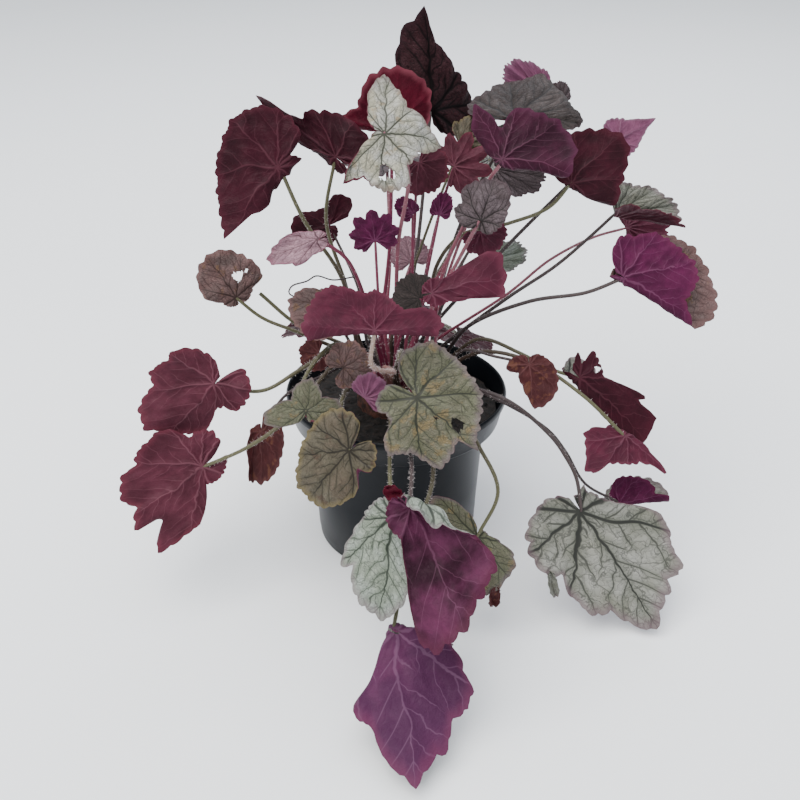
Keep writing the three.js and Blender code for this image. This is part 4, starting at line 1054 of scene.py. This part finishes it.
leaf("right_silver", MIDDLE, ("outer", 9), (126, 35, 194), (168, 35, 187), (-90, 70),
     [(65, 12, 152), (92, 22, 167), (113, 30, 183)], SILVER, WINE, STALK_DARK,
     spread=0.6, wide=(0.65, 0.8), folds=[(90, 0, 50, 0.1), (-90, 0, 60, 0.1)])
leaf("right_pink_low", SMALL, ("outer", 10), (138, 55, 178), (166, 64, 178), (90, -50),
     [(66, 26, 148), (92, 40, 164), (118, 50, 174)], SILVER, ROSE, STALK_PINK,
     spread=0.6, wide=(0.8, 0.8))
leaf("right_purple", LARGE, ("outer", 8), (124, -12, 174), (161, -20, 154), (90, -30),
     [(42, 3, 138), (75, -3, 156), (105, -9, 164)], RUSSET_TOP, MAGENTA, STALK_DARK,
     outline=[(-140, 0.42), (-124, 0.56), (-104, 0.56), (-86, 0.7), (-54, 0.84), (-43, 0.94),
     (-31, 0.96), (-20, 0.92), (-12, 0.86), (0, 1), (8, 1.3), (20, 1.42), (33, 1.4), (47, 1.36),
     (60, 1.24), (76, 1.02), (92, 0.66), (110, 0.34), (140, 0.2)], folds=[(90, 0, 174, 0.05)],
     frill=0.016)
leaf("silver_right", SMALL, ("middle", 5), (54, 14, 226), (83, 18, 221), (-90, 35),
     [(27, 5, 160), (42, 13, 202)], TAUPE, WINE, STALK_PINK,
     spread=0.6, wide=(0.65, 0.65))
leaf("silver_centre", MIDDLE, ("inner", 1), (43, -24, 210.5), (51, -17, 231), (-105, 35),
     [(24, -14, 165)], TAUPE, WINE, STALK_PINK,
     outline=[(-172, 0.14), (-120, 0.4), (-79, 0.54), (-50, 0.7), (-22, 1), (0, 1), (30, 0.9),
     (51, 0.84), (67, 0.6), (82, 0.69), (110, 0.5), (172, 0.14)], crumple=0.016)
leaf("wine_fold", SMALL, ("middle", 3), (45, -10, 200), (56, -8, 189), (90, -10),
     [(24, -8, 150), (37, -10, 184)], TAUPE, ROSE, STALK_DARK,
     spread=0.8)
leaf("pale_small", SMALL, ("outer", 12), (53, 46, 160), (80, 52, 166), (-90, 40),
     [(27, 44, 136)], MINT, ROSE, STALK_GREEN,
     spread=0.55, wide=(0.55, 0.55))
leaf("wine_right", MIDDLE, ("middle", 2), (19, -45, 179.5), (57, -42, 188), (90, -30),
     [(18, -28, 150)], SILVER, ROSE, STALK_PINK,
     outline=[(-172, 0.14), (-120, 0.17), (-70, 0.2), (-40, 0.24), (-30, 0.45), (-24, 0.9),
     (-17, 1.03), (0, 1), (8, 1), (17, 0.92), (22, 0.5), (40, 0.24), (70, 0.2), (120, 0.17),
     (172, 0.14)], crumple=0.012, frill=0.014)

# --------------------------------
# Young leaves in the middle: small, crumpled and bright, still opening in the shade of the
# others, on red and dark petioles from the middle of the crown.
# --------------------------------

leaf("dark_centre", SMALL, ("middle", 1), (13, -26, 168), (0, -20, 175), (-90, 35),
     [(9, -24, 138)], SLATE, WINE, STALK_RED,
     spread=0.8)
leaf("magenta_small", SMALL, ("inner", 8), (-11, -13, 196), (-13, -12, 213), (90, -15),
     [(-9, -13, 150)], BLUSH, MAGENTA, STALK_RED,
     spread=0.8, cut=0.15, crumple=0.03)
leaf("magenta_middle", SMALL, ("inner", 0), (9, -4, 207), (0, -2, 215), (90, -30),
     [(8, -8, 160)], BLUSH, MAGENTA, STALK_RED,
     spread=0.6, wide=(0.7, 0.7))
leaf("wine_young", SMALL, ("inner", 2), (23, -5, 207), (27, -2, 219), (90, -20),
     [(15, -3, 160)], TAUPE, MAGENTA, STALK_RED,
     spread=0.6, wide=(0.65, 0.65))
leaf("young_back", SMALL, ("inner", 5), (9, 46, 160), (5, 50, 175), (-90, 20),
     [(-1, 22, 138)], BLUSH, PINK, STALK_PINK,
     spread=0.7)
leaf("maroon_left", SMALL, ("middle", 13), (-39, 40, 185), (-62, 40, 178), (90, -20),
     [(-22, 26, 150)], DUSK, MAROON, STALK_DARK,
     outline=[(-90, 0.4), (-45, 0.7), (0, 1), (30, 0.9), (60, 0.5), (90, 0.45), (120, 0.8),
     (150, 0.85), (172, 0.5)])
leaf("pink_left", MIDDLE, ("inner", 7), (-40, -25, 201), (-67, -33, 194), (-90, 35),
     [(-15, -6, 150), (-26, -16, 186)], BLUSH, ROSE, STALK_RED,
     wide=(0.6, 0.6), outline=[(-172, 0.15), (-75, 0.3), (-50, 0.6), (-25, 0.78), (0, 1),
     (16, 0.98), (30, 0.8), (50, 0.74), (65, 0.45), (120, 0.25)], crumple=0.03)

# --------------------------------
# Leaves over the front of the rim: the wide wine umbrella on its downy kinked petiole, the
# big olive one spread flat before the pot, and the weathered ones round them.
# --------------------------------

leaf("wine_centre", LARGE, ("middle", 19), (-10, -82, 176), (-10, -72, 193.5), (90, -30),
     [(-1, -42, 132), (-12, -68, 150)], SILVER, ROSE, STALK_PALE,
     outline=[(-110, 1.2), (-87, 1.75), (-62, 1.69), (-49, 1.62), (-38, 1.4), (-28, 1.12),
     (-15, 0.93), (0, 1), (19, 0.93), (39, 0.83), (56, 0.9), (61, 1.14), (65, 1.36), (76, 1.62),
     (84, 1.7), (96, 1.48), (130, 0.9)], folds=wings(88, 86), frill=0.02, hairs=4)
leaf("front_big", LARGE, ("middle", 0), (10, -80, 139), (41, -98, 118), (-90, 35),
     [(3, -38, 142), (2, -62, 149)], OLIVE, WINE, STALK_GREEN,
     outline=[(-165, 0.35), (-137, 0.47), (-121, 0.52), (-100, 0.42), (-90, 0.47), (-85, 0.66),
     (-74, 0.81), (-55, 0.71), (-42, 0.79), (-32, 0.95), (-24, 0.92), (-12, 0.8), (-5, 0.77),
     (0, 1), (7, 0.92), (20, 0.85), (42, 0.82), (65, 0.72), (93, 0.68), (116, 0.72), (150, 0.55),
     (165, 0.4)], holes=[(0.377, -0.046, 0.03), (0.625, 0.057, 0.07)], hairs=3)
leaf("magenta_front", SMALL, ("middle", 18), (-16, -60, 126), (-6, -60, 138), (90, -30),
     [(-12, -38, 126)], TAUPE, PINK, STALK_PINK,
     spread=0.6)
leaf("brown_rim", SMALL, ("middle", 17), (-28, -48, 138), (-14, -47, 146), (-90, 35),
     [(-22, -26, 132)], RUSSET_TOP, RUSSET, STALK_DARK,
     spread=0.9, crumple=0.012)
leaf("bronze_left", SMALL, ("middle", 16), (-32, -36, 168), (-57, -36, 172), (-90, 35),
     [(-27, -14, 138)], RUSSET_TOP, RUSSET, STALK_DARK,
     spread=0.8, outline=[(-130, 0.25), (-90, 0.34), (-50, 0.5), (-25, 0.78), (0, 1), (30, 0.95),
     (60, 0.9), (90, 0.8), (130, 0.6)])
leaf("russet_rim", SMALL, ("outer", 19), (-44, -8, 126), (-55, -8, 120), (90, -20),
     [(-32, -1, 120)], BRONZE, RUSSET, STALK_DARK,
     spread=0.8)
leaf("olive_small", MIDDLE, ("outer", 23), (-46, -74, 126), (-43, -66, 142), (-90, 35),
     [(-32, -30, 143), (-48, -52, 134)], OLIVE, WINE, STALK_GREEN,
     outline=[(-130, 0.5), (-100, 0.9), (-87, 1), (-63, 1.05), (-38, 0.62), (0, 1), (35, 0.8),
     (60, 0.55), (85, 0.9), (105, 1.3), (118, 1.25), (140, 0.6)], rolls=[(-130, 30, 0.5, 150)],
     hairs=3)
leaf("olive_big", LARGE, ("outer", 24), (-23, -90, 113), (-46, -95, 84), (-90, 35),
     [(-22, -32, 120), (-29, -60, 122)], BRONZE, PLUM, STALK_GREEN,
     outline=[(-160, 0.4), (-148, 0.51), (-119, 0.63), (-85, 0.63), (-62, 0.68), (-36, 0.79),
     (-14, 1), (0, 1), (10, 1), (28, 0.81), (60, 0.49), (111, 0.39), (154, 0.35)],
     rolls=[(72, 26, 0.45, 150)], crumple=0.015, hairs=3)

# --------------------------------
# Leaves on the left: two broad wine ones held out sideways, a browned one with a torn hole
# and a small russet one that hangs beside the pot.
# --------------------------------

leaf("left_brown", MIDDLE, ("outer", 18), (-91, 5, 154.5), (-107, 12, 178), (-90, 30),
     [(-55, 5, 132), (-77, 5, 142)], RUSSET_TOP, RUSSET, STALK_GREEN,
     outline=[(-110, 0.3), (-92, 0.4), (-85, 0.68), (-63, 0.79), (-40, 0.88), (-19, 0.98), (0, 1),
     (20, 0.94), (37, 0.79), (59, 0.6), (75, 0.3), (120, 0.2)], holes=[(0.34, -0.25, 0.1),
     (0.34, -0.45, 0.04)], crumple=0.02)
leaf("left_wine_high", LARGE, ("outer", 21), (-99, -40, 123), (-130, -48, 90), (90, -25),
     [(-29, -15, 135), (-53, -28, 126), (-74, -36, 117)], SILVER, WINE, STALK_GREEN,
     outline=[(-165, 0.42), (-137, 0.46), (-108, 0.45), (-82, 0.41), (-65, 0.285), (-44, 0.31),
     (-33, 0.545), (-15, 0.69), (7, 0.91), (15, 1.03), (30, 0.99), (36, 0.92), (45, 0.76),
     (56, 0.82), (66, 0.75), (74, 0.63), (81, 0.66), (96, 0.585), (112, 0.49), (132, 0.36),
     (151, 0.22)], crumple=0.012, frill=0.012, hairs=2.5)
leaf("left_wine_low", LARGE, ("outer", 22), (-106, -60, 82.5), (-146, -75, 58), (90, -25),
     [(-28, -25, 133), (-62, -55, 107), (-81, -60, 95)], SILVER, WINE, STALK_GREEN,
     outline=[(-172, 0.3), (-138, 0.26), (-110, 0.23), (-66, 0.2), (-58, 0.45), (-52, 0.65),
     (-42, 0.76), (-35, 0.93), (-27, 1.09), (-21, 1.02), (-17, 0.86), (-13, 0.84), (-8, 1.05),
     (5, 0.86), (11, 0.97), (20, 0.97), (31, 0.9), (38, 0.75), (49, 0.76), (60, 0.68), (77, 0.64),
     (93, 0.49), (101, 0.36), (111, 0.4), (141, 0.44), (162, 0.35)], rolls=[(-17, 9, 0.8, 150)],
     crumple=0.014, frill=0.014, hairs=2.5)
leaf("left_russet", SMALL, ("outer", 20), (-75, -42, 95), (-77, -46, 61), (90, -25),
     [(-40, -15, 116), (-62, -31, 111)], SILVER, RUSSET, STALK_DARK,
     wide=(0.9, 0.55), outline=[(-172, 0.3), (-110, 0.6), (-60, 0.75), (-20, 0.9), (0, 1),
     (25, 0.95), (50, 0.6), (80, 0.3), (110, 0.15)], folds=[(90, 0.1, -80, 0.08)])

# --------------------------------
# Leaves at the right front: they hang over the rim on long arched petioles, the largest of
# them silver with a dark net, its tip on the ground.
# --------------------------------

leaf("right_russet", SMALL, ("outer", 5), (72, -38, 135), (74, -50, 112), (90, 10),
     [(38, -20, 134), (55, -28, 134)], BRONZE, RUSSET, STALK_DARK,
     outline=[(-100, 0.4), (-68, 0.62), (-46, 0.8), (-20, 0.93), (-4, 1), (5, 0.77), (21, 0.48),
     (54, 0.3), (80, 0.5), (96, 0.45), (130, 0.3)], crumple=0.015)
leaf("right_wine_high", MIDDLE, ("outer", 7), (102, -28, 120.5), (142, -38, 86), (90, -30),
     [(48, -6, 134), (70, -14, 129), (86, -21, 123)], SILVER, MAROON, STALK_GREEN,
     outline=[(-145, 0.2), (-136, 0.3), (-125, 0.15), (-112, 0.2), (-107, 0.33), (-90, 0.3),
     (-78, 0.27), (-42, 0.27), (-31, 0.54), (-25, 0.78), (-20, 0.7), (-15, 0.92), (-7, 0.97),
     (0, 0.96), (6, 1), (20, 0.9), (60, 0.6), (120, 0.4)], folds=[(98, 0, 140, 0.05)],
     holes=[(0.065, -0.19, 0.035)])
leaf("right_wine_low", MIDDLE, ("outer", 6), (124, -56, 100), (107, -70, 82), (90, -45),
     [(50, -16, 131), (76, -30, 131), (102, -46, 119)], SILVER, ROSE, STALK_GREEN,
     outline=[(-110, 0.3), (-92, 0.6), (-88, 0.87), (-82, 1.12), (-78, 0.75), (-65, 0.6),
     (-35, 0.55), (-19, 0.55), (-5, 0.65), (4, 0.98), (12, 1.05), (25, 0.85), (42, 0.78),
     (58, 0.79), (68, 0.67), (78, 0.4), (110, 0.3)], folds=wings(80, 90))
leaf("right_small", SMALL, ("outer", 4), (132, -34, 40), (160, -38, 48), (90, -30),
     [(57, -40, 113), (84, -42, 96), (96, -40, 80), (110, -38, 56)], SILVER, MAGENTA, STALK_DARK,
     outline=[(-172, 0.15), (-112, 0.3), (-80, 0.52), (-48, 0.63), (-21, 0.78), (-6, 0.78), (0, 1),
     (18, 1.02), (39, 0.95), (71, 0.78), (83, 0.68), (120, 0.5), (172, 0.2)],
     folds=[(90, 0.02, 150, 0.05)])
leaf("right_big_silver", LARGE, ("outer", 3), (102, -70, 60), (146, -106, 6), (-90, 40),
     [(58, -52, 121), (83, -60, 103), (92, -63, 91), (98, -67, 80)], SILVER, WINE, STALK_DARK,
     outline=[(-140, 0.28), (-122, 0.33), (-106, 0.42), (-97, 0.45), (-81, 0.49), (-62, 0.52),
     (-52, 0.48), (-45, 0.56), (-33, 0.71), (-23, 0.76), (-17, 0.74), (-11, 0.87), (-3, 1),
     (4, 0.91), (13, 0.86), (19, 0.81), (24, 0.87), (28, 0.84), (36, 0.71), (48, 0.64), (54, 0.59),
     (60, 0.45), (70, 0.25), (90, 0.17), (130, 0.15), (138, 0.2), (150, 0.12)], crumple=0.01,
     frill=0.014)

# --------------------------------
# Leaves that hang before the pot: silver and plum ones folded over each other, and the
# longest plum one that reaches the ground.
# --------------------------------

leaf("front_silver", LARGE, ("outer", 25), (-2, -116, 89), (-8, -150, 52.5), (-100, 40),
     [(-3, -60, 114), (-3, -92, 104)], MINT, PLUM, STALK_GREEN,
     outline=[(-155, 0.25), (-117, 0.26), (-85, 0.3), (-63, 0.43), (-47, 0.65), (-39, 0.69),
     (-34, 0.6), (-24, 0.78), (-12, 0.9), (3, 1), (10, 0.91), (23, 0.7), (39, 0.45), (75, 0.26),
     (137, 0.22)], hairs=3.5)
leaf("front_plum", LARGE, ("outer", 0), (7, -125, 103), (34, -164, 61), (90, -30),
     [(4, -60, 115), (8, -92, 108)], MINT, PLUM, STALK_DARK,
     outline=[(-100, 0.35), (-60, 0.5), (-40, 0.6), (-33, 0.78), (-25, 0.82), (-11, 0.88), (0, 1),
     (9, 1.06), (16, 1.11), (21, 1.05), (25, 0.8), (29, 0.5), (40, 0.25)],
     folds=[(-126, 0, -150, 0.08)], crumple=0.03, frill=0.03, hairs=3.5)
leaf("front_right_silver", MIDDLE, ("outer", 2), (43, -95, 62), (40, -107, 30), (-90, 30),
     [(28, -50, 122), (43, -76, 107), (53, -90, 88)], OLIVE, WINE, STALK_GREEN,
     outline=[(-172, 0.15), (-155, 0.42), (-138, 0.78), (-125, 0.96), (-108, 0.85), (-90, 0.85),
     (-45, 0.9), (0, 1), (23, 0.98), (38, 0.85), (54, 0.8), (68, 0.67), (79, 0.4), (100, 0.18),
     (172, 0.1)])
leaf("lowest_plum", LARGE, ("outer", 1), (-1, -141, 41), (9.5, -207, 3), (90, -55),
     [(15, -60, 121), (19, -92, 97), (7, -114, 70)], SILVER, VIOLET, STALK_GREEN,
     outline=[(-110, 0.3), (-62, 0.42), (-51, 0.55), (-43, 0.65), (-34, 0.71), (-27, 0.69),
     (-23, 0.71), (-17, 0.83), (-9, 0.88), (-3, 0.97), (0, 1), (4, 0.96), (11, 0.86), (14, 0.76),
     (20, 0.66), (28, 0.63), (35, 0.5), (80, 0.3)], folds=[(119, -0.01, 160, 0.03),
     (-152, 0, 160, 0.03)], crumple=0.012, hairs=3.5)

# --------------------------------
# Leaves at the back: plainer, silver and olive, spread to the light that they get there.
# They are whole and nearly flat, since nothing has bent or torn them.
# --------------------------------

leaf("back_right_high", MIDDLE, ("middle", 10), (58, 96, 208), (86, 116, 216), (-60, 75),
     [(30, 50, 160)], SILVER, WINE, STALK_GREEN)
leaf("back_high", MIDDLE, ("middle", 11), (-6, 98, 206), (-14, 130, 210), (90, 75),
     [(-4, 50, 160)], TAUPE, MAROON, STALK_PINK)
leaf("back_left_low", MIDDLE, ("outer", 15), (-45, 80, 108), (-62, 102, 84), (120, 40),
     [(-26, 44, 120)], OLIVE, WINE, STALK_GREEN)
leaf("back_low", MIDDLE, ("outer", 14), (-2, 98, 106), (-2, 126, 84), (90, 40),
     [(-5, 52, 121)], SILVER, PLUM, STALK_DARK)
leaf("back_right_low", MIDDLE, ("outer", 13), (42, 86, 92), (52, 104, 70), (60, 40),
     [(22, 50, 117)], MINT, WINE, STALK_GREEN)

# --------------------------------
# Bare petiole: one that has lost its blade, still green and hairy, which rises from its
# socket in the crown and ends bluntly in the air on the left.
# --------------------------------

BARE_RADIUS = 1.1
BARE_DRAW = 31

path, run = smooth_path([*stalk_root(("outer", 17)), (-58, 13, 134), (-79, 15, 153)], STALK_STEP)
radii = np.full(len(run), BARE_RADIUS) + sheath(run)
tube = stalk(path, radii)
hair = down(path, radii, int(run[-1]), np.random.default_rng(BARE_DRAW))
points, faces = join_up([tube, hair])
finish_of_face = [0] * len(tube[1]) + [1] * len(hair[1])
bare = piece("petiole_without_blade", points, faces, [STALK_GREEN, down_finish], finish_of_face)
shares = np.concatenate([np.repeat(run / run[-1], STALK_SIDES), [0, 1], np.ones(len(hair[0]))])
carry(bare, shares)
dress(bare, "petiole_bare")

# --------------------------------
# Withered bits: a dried tendril among the petioles, and small browned lobes that have
# curled up at the foot of a blade or hang from its margin by a thread.
# --------------------------------

TENDRIL_RADIUS = 0.45
TENDRIL_SIDES = 6
TENDRIL_STEP = 1.5
WITHERED_THICKNESS = 0.5
WITHERED_ROWS = 9

tendril_way = [
    (-22.6, -13, 175),
    (-33.7, -20, 176.1),
    (-42.3, -24, 180.1),
    (-47, -26, 178),
    (-54.9, -28, 176),
    (-56.7, -28, 172),
    (-52.6, -28, 169.1),
]
path, run = smooth_path(tendril_way, TENDRIL_STEP)
tendril_tube = stalk(path, np.full(len(run), TENDRIL_RADIUS), TENDRIL_SIDES)
tendril = piece("dried_tendril", *tendril_tube, [STALK_DARK])
shares = np.concatenate([np.repeat(run / run[-1], TENDRIL_SIDES), [0, 1]])
carry(tendril, shares)
dress(tendril, "leaf_pink_left")


def withered(name, node, top, foot, half, finish):
    """A small lobe, pinched at the top and cupped round the line down to its foot."""
    top = np.array(top, float)
    line = np.array(foot, float) - top
    across = unit(np.cross(line, [0.3, -1, 0.2]))
    out = unit(np.cross(across, line))
    rows = WITHERED_ROWS
    fallen, side = np.meshgrid(np.linspace(0, 1, rows), np.linspace(-1, 1, rows), indexing="ij")
    fallen = fallen.ravel()
    side = side.ravel()
    width = half * np.sqrt(np.sin(np.pi * (0.04 + 0.9 * fallen))) * (1 + 0.12 * np.sin(fallen * 19))
    p = top + fallen[:, None] * line + (width * side)[:, None] * across
    p += (half * 0.5 * side * side + 0.25 * half * np.sin(side * 4 + fallen * 7))[:, None] * out
    faces = []
    for start in range(0, rows * (rows - 1), rows):
        for i in range(start, start + rows - 1):
            faces.append([i, i + 1, i + rows + 1, i + rows])
    thickness = np.full(len(p), WITHERED_THICKNESS)
    points, faces, sides = sheet(p, faces, thickness, np.zeros(len(p)))
    made = piece(name, points, faces, [finish, finish], sides)
    drawing = np.stack([fallen, side * 0.4, np.zeros(len(p))], axis=1)
    carry(made, np.tile(fallen, 2), np.tile(drawing, (2, 1)))
    dress(made, node)


withered("loose_lobe", "leaf_right_big_silver",
         (83.8, -91.3, 35), (87.6, -93, 19), 2.8, SILVER)
# The red tuft wears the crimson finish, with its painted glow of light through the blade.
withered("red_tuft", "leaf_front_plum",
         (-5.5, -121, 111.6), (2.8, -121.6, 107), 3.6, CRIMSON)
withered("browned_lobe", "leaf_front_right_silver",
         (53, -103.4, 35), (51.8, -105, 23), 3.4, RUSSET)

# --------------------------------
# Floor and light: a wide pale sheet of paper that lies a hair below the pot, under soft
# daylight from all round, with more of it from above at the front left and at the back.
# --------------------------------

FLOOR_HALF = 6
FLOOR_DROP = 0.0002
SKY_STRENGTH = 1.15

paper, tree, shader = new_finish("pale_paper", Roughness=0.9, Specular_IOR_Level=0.2)
where = object_place(tree)
tooth = add(tree, "TexNoise", where, None, 3.0, 3.0, 0.5)
colour = blend_colour(tree, tooth, paint("f3f5f7"), paint("f8f9fa"))
tree.links.new(colour, shader.inputs["Base Color"])
floor_mesh = bpy.data.meshes.new("floor")
floor_mesh.from_pydata(
    [(x * FLOOR_HALF, y * FLOOR_HALF, -FLOOR_DROP) for x, y in ((-1, -1), (1, -1), (1, 1), (-1, 1))],
    [],
    [(0, 1, 2, 3)],
)
floor_mesh.materials.append(paper)
floor = bpy.data.objects.new("floor", floor_mesh)
bpy.context.collection.objects.link(floor)

daylight = bpy.data.worlds.new("daylight")
daylight.use_nodes = True
sky = daylight.node_tree.nodes["Background"]
sky.inputs["Color"].default_value = paint("ebf0f5")
sky.inputs["Strength"].default_value = SKY_STRENGTH
bpy.context.scene.world = daylight


def soft_light(name, place, aim, width, power, tint):
    """A square lamp of a width in metres and a power in watts, turned to what it lights."""
    lamp = bpy.data.lights.new(name, "AREA")
    lamp.shape = "SQUARE"
    lamp.size = width
    lamp.energy = power
    lamp.color = paint(tint)[:3]
    made = bpy.data.objects.new(name, lamp)
    made.location = place
    made.rotation_euler = (Vector(aim) - Vector(place)).to_track_quat("-Z", "Y").to_euler()
    bpy.context.collection.objects.link(made)


soft_light("window", (-0.6, -0.6, 1.7), (0, 0, 0.1), 1.6, 48, "fdfbf8")
soft_light("ceiling", (0.4, 0.8, 1.8), (0, 0.1, 0.1), 2.0, 32, "f2f6ff")
